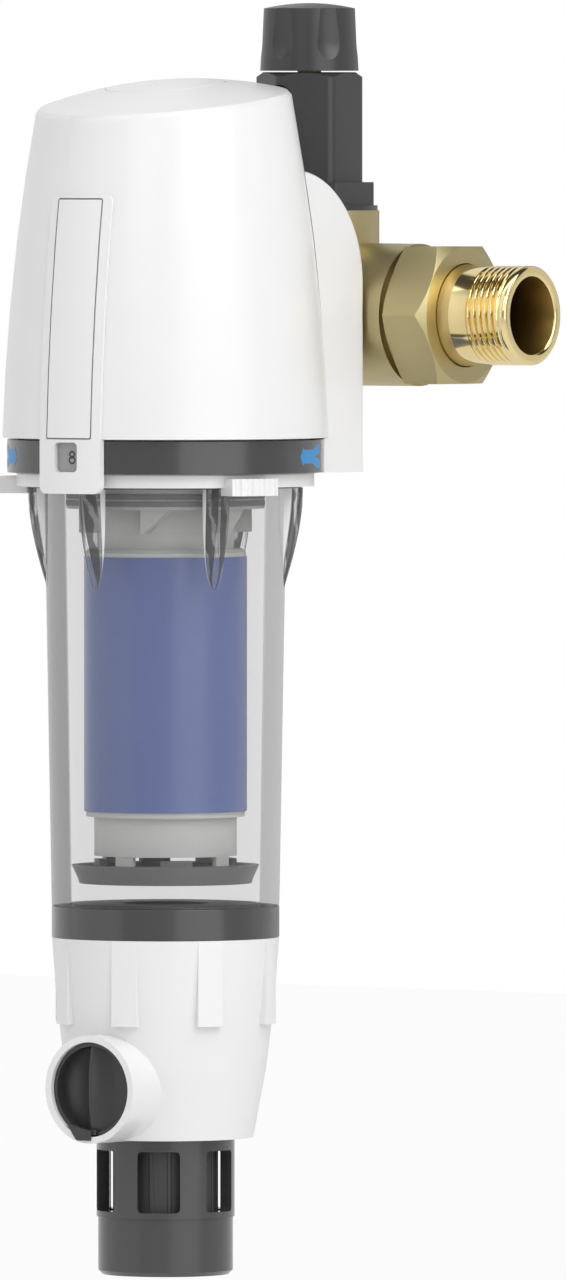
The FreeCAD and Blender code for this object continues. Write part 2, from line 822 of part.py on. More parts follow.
def head_body():
    body = head_ways(head_core())
    top = z_ribs_top + bowl_neck_h
    socket = tube(bowl_neck_r + free_gap, head_spigot_r, z_head - past, top + stop_gap)
    socket = socket.fuse(tube(bowl_top_r + clip_reach + free_gap, head_spigot_r, z_head - past,
                              z_head + clip_h + stop_gap))
    body = body.cut(socket).cut(claw_way())
    for height in spigot_seal_heights():
        body = body.cut(seal_groove(bowl_bore_top_r - shaft_play, height))
    half = cord_r + shaft_play
    hub_seal_z = z_head - hub_seal_drop
    body = body.cut(cyl(insert_tube_r + 2 * half, hub_seal_z - half, hub_seal_z + half))
    for hole in screw_set(screw_r + shaft_play, screw_r + shaft_play, stop_gap):
        body = body.cut(hole)
    return body


def spigot_seal_heights():
    low = z_head - head_spigot_h + spigot_seal_rise
    return [low, low + spigot_seal_pitch]


def spigot_seals():
    rings = [seal(bowl_bore_top_r - shaft_play, height) for height in spigot_seal_heights()]
    return Part.makeCompound(rings)


def seal_in_hub():
    return seal(insert_tube_r + shaft_play + 2 * cord_r, z_head - hub_seal_drop)


def screw_set(shank_r, head_r, extra=0.0):
    """Screws that hold the pipe body to the head, two above and two below the pipe axis."""
    seat = flange_y + gasket_h + flange_h
    screws = []
    for n in range(screw_count):
        angle = math.radians(45 + 360.0 * n / screw_count)
        x = screw_circle_r * math.sin(angle)
        z = z_pipe + screw_circle_r * math.cos(angle)
        shank = along_y(shank_r, seat - screw_l - extra, seat, x, z)
        head = along_y(head_r, seat, seat + screw_head_h, x, z)
        screws.append(shank.fuse(head))
    return screws


def flange_screws():
    seat = flange_y + gasket_h + flange_h
    screws = []
    for n, screw in enumerate(screw_set(screw_r, screw_head_r)):
        angle = math.radians(45 + 360.0 * n / screw_count)
        x = screw_circle_r * math.sin(angle)
        z = z_pipe + screw_circle_r * math.cos(angle)
        socket = hexagon(screw_key_af, 0, screw_head_h / 2 + past)
        socket.rotate(V(0, 0, 0), V(1, 0, 0), -90)
        screws.append(screw.cut(socket.translated(V(x, seat + screw_head_h / 2, z))))
    return Part.makeCompound(screws)


def port_gasket():
    body = along_y(flange_r - sink, flange_y, flange_y + gasket_h, 0, z_pipe)
    for x, drop in ((inlet_port_x, inlet_port_drop), (return_port_x, return_port_drop)):
        body = body.cut(along_y(port_r, 0, pipe_y, x, z_pipe - drop))
    for hole in screw_set(screw_r + shaft_play, screw_r + shaft_play):
        body = body.cut(hole)
    return body


def spokes(low, high, outer, bore_r):
    """Three-armed bearing spider."""
    arm = block(-spoke_w / 2, spoke_w / 2, -outer, 0, low, high)
    hub = cyl(hub_r, low, high).multiFuse(around(arm, 3))
    return hub.cut(cyl(bore_r, low - past, high + past))


def funnel_ring():
    top = z_legs
    floor = z_funnel_ring + funnel_floor_h
    body = lathe([(funnel_ring_bore_r, z_funnel_ring), (funnel_ring_foot_r - funnel_bevel, z_funnel_ring),
                  (funnel_ring_foot_r, z_funnel_ring + funnel_foot_h), (funnel_ring_r, top),
                  (funnel_ring_r - funnel_wall, top), (funnel_ring_foot_r - 1.5 * funnel_wall, floor),
                  (lower_tube_r, floor), (lower_tube_r, top), (funnel_ring_bore_r, top)])
    tab = sector(funnel_ring_bore_r + stop_gap, lower_tube_r, top - tab_h / 2, top + tab_h, tab_angle)
    return body.multiFuse(around(tab, leg_count, leg_turn)).removeSplitter()


def cage_base():
    inner = lower_tube_r - lower_tube_wall
    body = tube(lower_tube_r, inner, z_tube, z_cap)
    body = body.fuse(tube(lower_cap_r, inner, z_cap, z_mesh))
    leg = block(-leg_w / 2, leg_w / 2, -lower_tube_r + free_gap, -inner, z_legs, z_tube + leg_h / 3)
    body = body.multiFuse(around(leg, leg_count))
    body = body.fuse(spokes(z_cap, z_mesh + spoke_rise, inner + stop_gap, journal_r + shaft_play))
    return body.removeSplitter()


def mesh_cage():
    outer = mesh_r - mesh_wall
    inner = outer - cage_wall
    height = z_mesh_top - z_mesh
    bands = []
    for n in range(4):
        low = z_mesh + (height - cage_band_h) * n / 3
        bands.append(tube(outer, inner, low, low + cage_band_h))
    bar = block(-cage_bar_w / 2, cage_bar_w / 2, -outer, 0, z_mesh, z_mesh_top)
    bars = around(bar, cage_bar_count)
    bars = bars[0].multiFuse(bars[1:]).common(tube(outer, inner, z_mesh, z_mesh_top))
    return bands[0].multiFuse(bands[1:] + [bars]).removeSplitter()


def filter_mesh():
    return tube(mesh_r, mesh_r - mesh_wall, z_mesh, z_mesh_top)


def insert_cap():
    bore = insert_tube_r - insert_tube_wall
    top = z_collar_ring + collar_ring_h
    edge = upper_cap_r - upper_cap_round
    body = lathe([(bore, z_mesh_top), (upper_cap_r, z_mesh_top), (upper_cap_r, z_neck - upper_cap_round),
                  (edge, z_neck), (neck_r, z_neck), (neck_r, z_vanes), (insert_tube_r, z_vanes),
                  (insert_tube_r, top), (bore, top)])
    return body.fuse(spokes(z_mesh_top, z_mesh_top + 2 * spoke_rise, bore + stop_gap, journal_r + shaft_play))


def vane_ring():
    """Guide vanes that set the water spinning: upright leading edges and sloping backs."""
    hub = tube(neck_r, insert_tube_r, z_vanes, z_vanes_top)
    back = -vane_r - past
    points = [V(0, back, z_vanes_top), V(vane_w, back, z_vanes_top), V(vane_foot_w, back, z_vanes),
              V(0, back, z_vanes), V(0, back, z_vanes_top)]
    wedge = Part.Face(Part.makePolygon(points)).extrude(V(0, vane_r - neck_r + 2 * past, 0))
    vanes = around(wedge, vane_count, vane_turn)
    shell = tube(vane_r, neck_r - sink, z_vanes, z_vanes_top)
    vanes = vanes[0].multiFuse(vanes[1:]).common(shell)
    return hub.fuse(vanes).removeSplitter()


def insert_collar():
    return tube(collar_ring_r, insert_tube_r, z_collar_ring, z_collar_ring + collar_ring_h)


def insert_spring():
    radius = (insert_tube_r + collar_ring_r + free_gap) / 2
    return coil(radius, insert_wire_r, z_shelf, z_collar_ring, insert_spring_turns)


def spray_rotor():
    low = z_mesh + spoke_rise + seat_play
    top = z_mesh_top - seat_play
    body = cyl(rotor_r, low, top).fuse(cyl(journal_r, z_cap + seat_play, z_mesh_top + journal_h))
    reach = mesh_r - mesh_wall - cage_wall - stop_gap
    arm = block(-rotor_arm_w / 2, rotor_arm_w / 2, -reach, 0, low + rotor_end_h, top - rotor_end_h)
    slot_low = low + rotor_end_h + rotor_frame_h
    slot_top = top - rotor_end_h - rotor_frame_h
    slot = block(-rotor_arm_w, rotor_arm_w, rotor_frame_w - reach, -rotor_r - rotor_frame_w,
                 slot_low, slot_top)
    arms = around(arm.cut(slot), rotor_arm_count)
    return body.multiFuse(arms).removeSplitter()


def dome(inset=0.0):
    """Ball whose top is the hood's crown: low at the front and high at the back."""
    radius = (hood_top_r ** 2 + hood_dome_h ** 2) / (2 * hood_dome_h)
    tilt = math.radians(hood_tilt)
    drop = radius - hood_dome_h
    centre = V(0, drop * math.sin(tilt), z_crown - drop * math.cos(tilt))
    return Part.makeSphere(radius - inset, centre, V(-1, 0, 0))


def hood_form(inset=0.0, low=None):
    base = z_hood if low is None else low
    return barrel(hood_side, base, z_crown + 2 * hood_dome_h, -inset).common(dome(inset))


def rear_opening():
    return block(-rear_cut_half_w, rear_cut_half_w, boss_r, rear_y, z_hood - past, z_hood + rear_cut_h)


def hood():
    shell = hood_form()
    crown = [e for e in shell.Edges if e.BoundBox.ZMin > z_hood + hood_h / 2 and e.Length > hood_top_r]
    shell = shell.makeChamfer(crown_chamfer, crown)
    shell = shell.cut(hood_form(hood_wall, z_hood - past))
    rim = month_ring_r - month_ring_wall - 2 * shaft_play
    shell = shell.fuse(tube(hood_foot_r - hood_wall / 2, rim + shaft_play, z_hood, z_hood + hood_lip_h))
    ledge = hood_form(hood_wall).cut(hood_form(2 * hood_wall))
    ledge = ledge.common(tube(cap_r + hood_wall, cap_r - cap_ledge, z_hood + hood_h / 2, z_hood + 2 * hood_h))
    shell = shell.fuse(ledge)
    cap_way = hood_form(-past).cut(hood_form(hood_wall))
    shell = shell.cut(cap_way.common(cyl(cap_r, z_hood + hood_h / 2, z_hood + 2 * hood_h)))
    return shell.cut(rear_opening())


def hood_cap():
    skin = hood_form().cut(hood_form(hood_wall))
    return skin.common(cyl(cap_r - cap_groove, z_hood + hood_h / 2, z_hood + 2 * hood_h))


def plate_layer(inner, outer, width, low, high, rounding):
    """Slice of a skin that follows the hood's front, between two heights over its surface."""
    middle = barrel(hood_side, z_hood, high + past, outer)
    middle = middle.cut(barrel(hood_side, z_hood, high + 2 * past, inner))
    return middle.common(rounded_front(width, low, high, rounding, -2 * hood_foot_r, 0))


def front_plate():
    foot = z_hood - tab_drop
    top = z_hood + plate_top_h
    outer = hood_foot_r + plate_raise
    inner = month_ring_r + free_gap
    skin = barrel(hood_side, z_hood, top + past, plate_raise)
    skin = skin.cut(barrel(hood_side, z_hood, top + 2 * past, shaft_play))
    skin = skin.fuse(tube(outer, inner, foot - past, z_hood))
    body = skin.common(rounded_front(plate_w, foot, top, plate_round, -2 * hood_foot_r, 0))
    groove = label_w + 2 * label_groove
    low = z_hood - stop_gap
    pocket = barrel(hood_side, z_hood, top + past, 2 * plate_raise)
    pocket = pocket.cut(barrel(hood_side, z_hood, top + 2 * past, plate_raise - label_inset))
    pocket = pocket.common(rounded_front(groove, low, low + label_h + 2 * label_groove,
                                         label_round + label_groove, -2 * hood_foot_r, 0))
    window_foot = foot + number_up
    window = rounded_front(number_w, window_foot, window_foot + number_h, number_round,
                           -2 * hood_foot_r, 0, number_x)
    return body.cut(pocket).cut(window)


def label_panel():
    low = z_hood + label_groove
    top = low + label_h - stop_gap
    return plate_layer(plate_raise - label_inset + shaft_play, plate_raise, label_w, low, top, label_round)


def number_plate():
    window_foot = z_hood - tab_drop + number_up
    inner = month_ring_r + free_gap
    skin = tube(inner + number_plate_h, inner, window_foot - past, window_foot + number_h + past)
    return skin.common(rounded_front(number_w - shaft_play, window_foot + shaft_play / 2,
                                     window_foot + number_h - shaft_play / 2, number_round,
                                     -2 * hood_foot_r, 0, number_x))


def rear_block(inset=0.0):
    """Side outline of the rear cover, an upright with a quarter circle on top, carried across."""
    half = rear_half_w - inset
    back = rear_y - inset
    low = z_head + inset
    top = z_head + rear_top - inset
    radius = rear_round - inset
    turn = radius * math.sin(math.radians(45))
    start = V(-half, back, top - radius)
    middle = V(-half, back - radius + turn, top - radius + turn)
    end = V(-half, back - radius, top)
    bottom = Part.LineSegment(V(-half, 0, low), V(-half, back, low)).toShape()
    wall = Part.LineSegment(V(-half, back, low), start).toShape()
    arc = Part.Arc(start, middle, end).toShape()
    roof = Part.LineSegment(end, V(-half, 0, top)).toShape()
    front = Part.LineSegment(V(-half, 0, top), V(-half, 0, low)).toShape()
    return Part.Face(Part.Wire([bottom, wall, arc, roof, front])).extrude(V(2 * half, 0, 0))


def rear_cover():
    solid = rear_block()
    edges = []
    for edge in solid.Edges:
        bounds = edge.BoundBox
        flat = bounds.XLength < shaft_play
        if flat and bounds.YMax > rear_y / 2 and bounds.ZMax > z_head + past and bounds.YMin > past:
            edges.append(edge)
    solid = solid.makeFillet(rear_edge, edges).cut(rear_block(rear_wall))
    solid = solid.cut(barrel(hood_side, z_hood, z_crown, seat_play))
    solid = solid.cut(cyl(hood_foot_r + seat_play, z_hood - free_gap, z_hood))
    solid = solid.cut(cyl(month_ring_r + free_gap, z_head - past, z_hood))
    solid = solid.cut(along_y(neck_pipe_r + free_gap, flange_y, pipe_y, 0, z_pipe))
    return solid.cut(along_x(bead_r + free_gap, -2 * rear_half_w, 2 * rear_half_w, pipe_y, z_pipe))


def pipe_form():
    """Outside of the brass body: run, end beads, threaded ends, upright stub and neck to the head."""
    run = along_x(body_r, -body_half_l, body_half_l, pipe_y, z_pipe)
    pieces = [along_x(thread_r, -body_end_l, body_end_l, pipe_y, z_pipe)]
    pieces.append(along_x(bead_r, -body_half_l, bead_l - body_half_l, pipe_y, z_pipe))
    pieces.append(along_x(bead_r, body_half_l - bead_l, body_half_l, pipe_y, z_pipe))
    pieces.append(cyl(stub_r, z_pipe, z_stub, 0, pipe_y))
    seat = flange_y + gasket_h
    pieces.append(along_y(neck_pipe_r, seat, pipe_y, 0, z_pipe))
    pieces.append(along_y(flange_r, seat, seat + flange_h, 0, z_pipe))
    return run.multiFuse(pieces)


def brass_body():
    body = pipe_form()
    body = body.cut(along_x(pipe_bore_r, -body_end_l - past, -inlet_bore_end, pipe_y, z_pipe))
    body = body.cut(along_x(pipe_bore_r, outlet_bore_end, body_end_l + past, pipe_y, z_pipe))
    body = body.cut(cyl(upper_chamber_r, z_chamber, z_stub + past, 0, pipe_y))
    body = body.cut(cyl(seat_ring_r, z_seat_ring, z_chamber + past, 0, pipe_y))
    body = body.cut(cyl(lower_chamber_r, z_chamber - lower_chamber_h, z_seat_ring + past, 0, pipe_y))
    body = body.cut(along_y(port_r, flange_y, pipe_y, return_port_x, z_pipe - return_port_drop))
    bend = V(inlet_port_x, pipe_y - body_r, z_pipe - inlet_port_drop)
    goal = V(-inlet_bore_end - port_r, pipe_y, z_pipe)
    body = body.cut(along_y(port_r, flange_y, bend.y, bend.x, bend.z))
    body = body.cut(Part.makeSphere(port_r, bend))
    body = body.cut(Part.makeCylinder(port_r, (goal - bend).Length, bend, goal - bend))
    for hole in screw_set(screw_r + shaft_play, screw_r + shaft_play):
        body = body.cut(hole)
    return body.removeSplitter()


def union_nut(side):
    """Hexagon nut with a deep cone on its outer end and a lip that pulls the tail's collar."""
    corner = nut_af / math.sqrt(3)
    body = hexagon(nut_af, nut_start, nut_end)
    flat = nut_af / 2 - nut_chamfer
    reach = corner + past
    cone_l = (reach - flat) * nut_cone_rise
    bevel_end = nut_start + 2 * nut_bevel
    body = body.common(lathe([(0, nut_start), (corner - nut_bevel, nut_start), (reach, bevel_end),
                              (reach, nut_end - cone_l), (flat, nut_end), (0, nut_end)]))
    body = body.cut(cyl(thread_r + shaft_play, nut_start - past, nut_end - nut_lip_l))
    body = body.cut(cyl(tail_r + nut_tail_gap, nut_start, nut_end + past))
    return lay_on_pipe(body, side)


def union_tail(side):
    seat = body_end_l + union_gasket_l
    end = seat + tail_l
    relief = seat + tail_plain_l
    body = lathe([(pipe_bore_r, seat), (tail_collar_r, seat), (tail_collar_r, seat + tail_collar_l),
                  (tail_r, seat + tail_collar_l), (tail_r, relief), (tail_relief_r, relief),
                  (tail_relief_r, relief + tail_relief_l), (tail_thread_r, relief + tail_relief_l),
                  (tail_thread_r, end - tail_chamfer),
                  (tail_thread_r - tail_chamfer, end), (pipe_bore_r, end)])
    return lay_on_pipe(body, side)


def union_gaskets():
    ring = tube(tail_collar_r, pipe_bore_r, body_end_l, body_end_l + union_gasket_l)
    return Part.makeCompound([lay_on_pipe(ring, 1), lay_on_pipe(ring, -1)])


def valve_seat():
    low = z_seat_ring
    body = tube(seat_ring_r - shaft_play, seat_ring_bore_r, low, low + seat_ring_h, 0, pipe_y)
    foot = [e for e in body.Edges if e.BoundBox.ZMax < low + shaft_play]
    mouth = [e for e in foot if e.BoundBox.XMax < seat_ring_bore_r + past]
    return body.makeChamfer(seat_ring_chamfer, mouth)


def reducer_piston():
    disc_top = z_seat_ring - piston_lift
    radius = upper_chamber_r - shaft_play
    body = cyl(radius, z_piston, z_piston_top, 0, pipe_y)
    body = body.fuse(cyl(piston_stem_r, disc_top - valve_disc_h, z_piston, 0, pipe_y))
    body = body.fuse(cyl(valve_disc_r, disc_top - valve_disc_h, disc_top, 0, pipe_y))
    return body.cut(seal_groove(upper_chamber_r - shaft_play / 2, z_piston + piston_h / 2, 0, pipe_y))


def piston_seal():
    return seal(upper_chamber_r - shaft_play / 2, z_piston + piston_h / 2, 0, pipe_y)


def main_spring():
    radius = bonnet_bore_r - main_spring_gap - main_wire_r
    return coil(radius, main_wire_r, z_piston_top, z_spring_plate, main_spring_turns, 0, pipe_y)


def spring_plate():
    radius = bonnet_bore_r - seat_play
    top = z_spring_plate + spring_plate_h
    body = cyl(radius, z_spring_plate, top, 0, pipe_y)
    body = body.fuse(cyl(spring_plate_hub_r, z_spring_plate - spring_plate_hub_h, z_spring_plate, 0, pipe_y))
    key = block(-key_w / 2, key_w / 2, pipe_y + radius - key_h, pipe_y + radius + key_h, z_spring_plate, top)
    bore = cyl(spindle_r + shaft_play, z_spring_plate - 2 * spring_plate_hub_h, top + past, 0, pipe_y)
    return body.fuse(key).cut(bore)


def bonnet():
    """Spring bonnet: threaded spigot, flange, low hexagon and a tall hexagon with a turned top."""
    hexa = hexagon(bonnet_af, z_hex, z_bonnet_top, bonnet_round, 0, pipe_y)
    reach = bonnet_af / math.sqrt(3)
    turned = lathe([(0, z_hex), (reach, z_hex), (reach - free_gap, z_bonnet_top - bonnet_chamfer),
                    (reach - bonnet_chamfer_in, z_bonnet_top), (0, z_bonnet_top)], 0, pipe_y)
    body = hexa.common(turned)
    body = body.fuse(hexagon(bonnet_collar_af, z_bonnet, z_hex, bonnet_collar_round, 0, pipe_y))
    body = body.fuse(cyl(bonnet_flange_r, z_stub, z_bonnet, 0, pipe_y))
    body = body.fuse(cyl(upper_chamber_r - shaft_play, z_stub - bonnet_spigot_h, z_stub, 0, pipe_y))
    roof = z_bonnet_top - bonnet_roof
    body = body.cut(cyl(bonnet_bore_r, z_stub - 2 * bonnet_spigot_h, roof, 0, pipe_y))
    body = body.cut(cyl(spindle_r + shaft_play, roof - past, z_bonnet_top + past, 0, pipe_y))
    wide = key_w / 2 + seat_play
    deep = pipe_y + bonnet_bore_r
    keyway = block(-wide, wide, deep - key_h, deep + key_h + shaft_play, z_stub, roof)
    body = body.cut(keyway)
    return body.cut(along_y(bonnet_peep_r, pipe_y - 2 * reach, pipe_y, 0, z_bonnet_top - bonnet_peep_drop))


def setting_spindle():
    roof = z_bonnet_top - bonnet_roof
    low = z_spring_plate - spring_plate_hub_h - plate_travel
    top = z_cap_foot + cap_h - cap_roof
    body = cyl(spindle_r, low, top, 0, pipe_y)
    collar = cyl(spindle_collar_r, roof - spindle_collar_h - shaft_play, roof - shaft_play, 0, pipe_y)
    return body.fuse(collar)


def setting_knob():
    """Domed cap with six shallow flutes that end in a round foot above its skirt."""
    shoulder = z_cap_foot + cap_h
    crown = shoulder + cap_crown_h
    dome_r = (cap_shoulder_r ** 2 + cap_crown_h ** 2) / (2 * cap_crown_h)
    body = cone(cap_foot_r, cap_shoulder_r, z_cap_foot, shoulder, 0, pipe_y)
    ball = Part.makeSphere(dome_r, V(0, pipe_y, crown - dome_r), V(-1, 0, 0))
    body = body.fuse(ball.common(cyl(cap_shoulder_r, shoulder - shaft_play, crown + past, 0, pipe_y)))
    flute_y = pipe_y - cap_foot_r - cap_flute_r + cap_flute_depth
    start = z_cap_foot + cap_flute_start
    flute = cyl(cap_flute_r, start, crown + past, 0, flute_y)
    flute = flute.fuse(Part.makeSphere(cap_flute_r, V(0, flute_y, start)))
    for cutter in around(flute, cap_flute_count, 0, 0, pipe_y):
        body = body.cut(cutter)
    roof = shoulder - cap_roof
    inner = cone(cap_foot_r - cap_wall, cap_shoulder_r - cap_wall - cap_draft, z_cap_foot, roof, 0, pipe_y)
    inner = inner.cut(cyl(cap_hub_r, z_cap_foot, shoulder, 0, pipe_y))
    body = body.cut(inner)
    return body.cut(cyl(spindle_r + shaft_play / 2, z_cap_foot - past, roof, 0, pipe_y))


def build():
    parts = {
        "drain_spigot": drain_spigot(),
        "drain_nozzle": drain_nozzle(),
        "lower_housing": lower_housing(),
        "ball_seats": ball_seats(),
        "drain_ball": drain_ball(),
        "valve_stem": valve_stem(),
        "stem_gland": stem_gland(),
        "backwash_knob": backwash_knob(),
        "lower_ring": lower_ring(),
        "seat_plate": seat_plate(),
        "seat_plate_seal": seal(bowl_bore_foot_r - shaft_play, z_plate + seat_plate_h / 2),
        "bowl": bowl(),
        "retaining_clip": retaining_clip(),
        "slip_washer": slip_washer(),
        "lock_ring": lock_ring(),
        "month_ring": month_ring(),
        "head_body": head_body(),
        "spigot_seals": spigot_seals(),
        "insert_seal": seal_in_hub(),
        "flange_screws": flange_screws(),
        "port_gasket": port_gasket(),
        "funnel_ring": funnel_ring(),
        "cage_base": cage_base(),
        "mesh_cage": mesh_cage(),
        "filter_mesh": filter_mesh(),
        "insert_cap": insert_cap(),
        "vane_ring": vane_ring(),
        "insert_collar": insert_collar(),
        "insert_spring": insert_spring(),
        "spray_rotor": spray_rotor(),
        "hood": hood(),
        "hood_cap": hood_cap(),
        "front_plate": front_plate(),
        "label_panel": label_panel(),
        "number_plate": number_plate(),
        "rear_cover": rear_cover(),
        "brass_body": brass_body(),
        "union_nut_right": union_nut(1),
        "union_nut_left": union_nut(-1),
        "union_tail_right": union_tail(1),
        "union_tail_left": union_tail(-1),
        "union_gaskets": union_gaskets(),
        "valve_seat": valve_seat(),
        "reducer_piston": reducer_piston(),
        "piston_seal": piston_seal(),
        "main_spring": main_spring(),
        "spring_plate": spring_plate(),
        "bonnet": bonnet(),
        "setting_spindle": setting_spindle(),
        "setting_knob": setting_knob(),
    }
    os.makedirs("parts", exist_ok=True)
    for name, shape in parts.items():
        shape.exportStep("parts/" + name + ".step")
    return parts


build()
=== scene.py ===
import json
import math

import bmesh
import bpy
from mathutils import Matrix, Vector


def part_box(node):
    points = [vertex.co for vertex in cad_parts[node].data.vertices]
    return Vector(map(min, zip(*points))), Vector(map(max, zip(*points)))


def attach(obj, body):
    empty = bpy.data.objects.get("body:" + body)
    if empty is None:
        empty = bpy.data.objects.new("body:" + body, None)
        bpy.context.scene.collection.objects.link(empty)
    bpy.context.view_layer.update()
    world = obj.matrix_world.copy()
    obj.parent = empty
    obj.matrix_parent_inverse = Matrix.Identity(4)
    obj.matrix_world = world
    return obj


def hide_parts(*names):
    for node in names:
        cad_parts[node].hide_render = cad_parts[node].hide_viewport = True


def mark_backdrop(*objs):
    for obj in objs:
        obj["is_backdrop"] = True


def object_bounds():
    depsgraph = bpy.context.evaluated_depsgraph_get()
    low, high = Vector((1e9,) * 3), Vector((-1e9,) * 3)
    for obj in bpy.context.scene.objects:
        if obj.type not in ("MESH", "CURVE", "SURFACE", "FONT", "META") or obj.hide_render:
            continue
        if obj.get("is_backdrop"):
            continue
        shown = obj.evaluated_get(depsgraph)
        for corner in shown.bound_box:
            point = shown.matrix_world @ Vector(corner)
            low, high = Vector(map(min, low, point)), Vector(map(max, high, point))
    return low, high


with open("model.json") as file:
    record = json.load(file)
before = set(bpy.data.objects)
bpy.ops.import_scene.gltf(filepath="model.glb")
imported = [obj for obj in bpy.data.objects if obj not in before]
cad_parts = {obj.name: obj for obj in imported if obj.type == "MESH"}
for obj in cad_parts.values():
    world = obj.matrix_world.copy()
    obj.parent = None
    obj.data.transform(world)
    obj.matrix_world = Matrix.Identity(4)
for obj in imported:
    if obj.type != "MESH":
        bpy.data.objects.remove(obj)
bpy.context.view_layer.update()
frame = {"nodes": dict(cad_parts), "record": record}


# Drain spigot: one dark moulded sleeve at the foot of the filter, with six windows as an air gap.
# It is injection moulded in glass-filled plastic and screws up into the lower housing.

class Shade:
    """A shader socket that takes part in sums, products and mixes."""

    def __init__(self, tree, socket=None):
        self.tree = tree
        self.socket = socket

    def add(self, kind, settings, inputs, output=0):
        node = self.tree.nodes.new(kind)
        for name, value in settings.items():
            setattr(node, name, value)
        for name, value in inputs.items():
            if isinstance(value, Shade):
                self.tree.links.new(value.socket, node.inputs[name])
            else:
                node.inputs[name].default_value = value
        return None if output is None else Shade(self.tree, node.outputs[output])

    def parts(self):
        """The three parts of a vector."""
        split = self.add("ShaderNodeSeparateXYZ", {}, {0: self})
        outputs = split.socket.node.outputs
        return [Shade(self.tree, outputs[n]) for n in range(3)]

    def maths(self, operation, *values):
        return self.add("ShaderNodeMath", {"operation": operation}, dict(enumerate(values)))

    def __add__(self, other):
        return self.maths("ADD", self, other)

    def __radd__(self, other):
        return self.maths("ADD", other, self)

    def __sub__(self, other):
        return self.maths("SUBTRACT", self, other)

    def __rsub__(self, other):
        return self.maths("SUBTRACT", other, self)

    def __mul__(self, other):
        return self.maths("MULTIPLY", self, other)

    def __rmul__(self, other):
        return self.maths("MULTIPLY", other, self)

    def between(self, low, high, start=0.0, end=1.0):
        """Smooth step of this value from start to end between low and high."""
        settings = {"interpolation_type": "SMOOTHSTEP"}
        return self.add("ShaderNodeMapRange", settings, {0: self, 1: low, 2: high, 3: start, 4: end})

    def mix(self, first, second):
        """Colour between two colours, this value being the share of the second."""
        settings = {"data_type": "RGBA"}
        return self.add("ShaderNodeMix", settings, {0: self, 6: first, 7: second}, 2)

    def blend(self, first, second):
        """Shader between two shaders, this value being the share of the second."""
        return self.add("ShaderNodeMixShader", {}, {0: self, 1: first, 2: second})


def rgb(red, green, blue):
    return (red, green, blue, 1.0)


def material(name, surface):
    """Node material whose surface function gets an empty Shade and returns a shader."""
    made = bpy.data.materials.new(name)
    made.use_nodes = True
    tree = made.node_tree
    tree.nodes.clear()
    shader = surface(Shade(tree))
    shader.add("ShaderNodeOutputMaterial", {}, {"Surface": shader}, None)
    return made


def place(shade):
    """Position in the row frame, as the object's own coordinates."""
    return shade.add("ShaderNodeTexCoord", {}, {}, 3)


def noise(shade, scale, detail=2.0, roughness=0.5):
    inputs = {"Vector": place(shade), "Scale": scale, "Detail": detail, "Roughness": roughness}
    return shade.add("ShaderNodeTexNoise", {}, inputs)


def plastic(name, dark, light, roughness, grain=0.06, coat=0.0):
    """Moulded plastic: a faint cloud in the colour and a fine grain from the mould."""
    def surface(shade):
        colour = noise(shade, 22.0).mix(dark, light)
        fine = noise(shade, 2600.0, 3.0)
        bump = shade.add("ShaderNodeBump", {}, {"Strength": grain, "Distance": 0.0001, "Height": fine})
        rough = noise(shade, 70.0) * 0.08 + (roughness - 0.04)
        inputs = {"Base Color": colour, "Roughness": rough, "Normal": bump, "Coat Weight": coat,
                  "Coat Roughness": 0.12, "IOR": 1.5}
        return shade.add("ShaderNodeBsdfPrincipled", {}, inputs)
    return material(name, surface)


def show(made, node, body):
    """Let a piece stand for a CAD node and ride on its body."""
    bpy.context.view_layer.update()
    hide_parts(node)
    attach(made, body)
    return made


def body_of(node):
    bodies = frame["record"]["behaviour"]["bodies"]
    return next(body for body, nodes in bodies.items() if node in nodes)


def soften(made, bevel, angle=32.0):
    """Break the edges of a piece as a mould or a lathe leaves them."""
    if bevel:
        edge = made.modifiers.new("edge", "BEVEL")
        edge.width = bevel
        edge.segments = 2
        edge.limit_method = "ANGLE"
        edge.angle_limit = math.radians(angle)
        edge.harden_normals = True
        edge.use_clamp_overlap = True


def linked(name, data):
    """Scene object of a mesh, a curve, a lamp or a camera."""
    made = bpy.data.objects.new(name, data)
    bpy.context.scene.collection.objects.link(made)
    return made


def meshed(name, work, *finishes):
    """Scene object of finished mesh work, with its materials."""
    mesh = bpy.data.meshes.new(name)
    work.to_mesh(mesh)
    work.free()
    for finish in finishes:
        mesh.materials.append(finish)
    return linked(name, mesh)


def smooth(work, angle):
    """Smooth faces, with a sharp edge where two of them meet at the angle in degrees or more."""
    for face in work.faces:
        face.smooth = True
    for edge in work.edges:
        edge.smooth = edge.calc_face_angle(0.0) < math.radians(angle)


weld = 1e-6               # corners closer than this are one corner
level_angle = 0.004       # faces that meet at less than this, in radians, are one face


def dress(node, finish, bevel=0.0, angle=32.0, change=None):
    """Finished piece that stands for a CAD node: its mesh with clean faces and broken edges."""
    work = bmesh.new()
    work.from_mesh(frame["nodes"][node].data)
    bmesh.ops.remove_doubles(work, verts=work.verts, dist=weld)
    bmesh.ops.dissolve_limit(work, angle_limit=level_angle, verts=work.verts, edges=work.edges)
    bmesh.ops.recalc_face_normals(work, faces=work.faces)
    if change:
        for corner in work.verts:
            corner.co = change(corner.co)
    for face in work.faces:
        face.material_index = 0
    smooth(work, angle)
    made = meshed(node + "_finished", work, finish)
    soften(made, bevel, angle)
    return show(made, node, body_of(node))


dark_plastic = plastic("dark_plastic", rgb(0.041, 0.041, 0.042), rgb(0.048, 0.048, 0.049), 0.22, 0.05, 0.45)
dress("drain_spigot", dark_plastic, 0.0004)


# Drain nozzle: the inner ribbed tube that carries the water past the windows. It is moulded in dark
# plastic and clamped between the spigot's neck and the housing.

nozzle_plastic = plastic("nozzle_plastic", rgb(0.045, 0.045, 0.047), rgb(0.06, 0.06, 0.062), 0.42)
dress("drain_nozzle", nozzle_plastic, 0.0002)


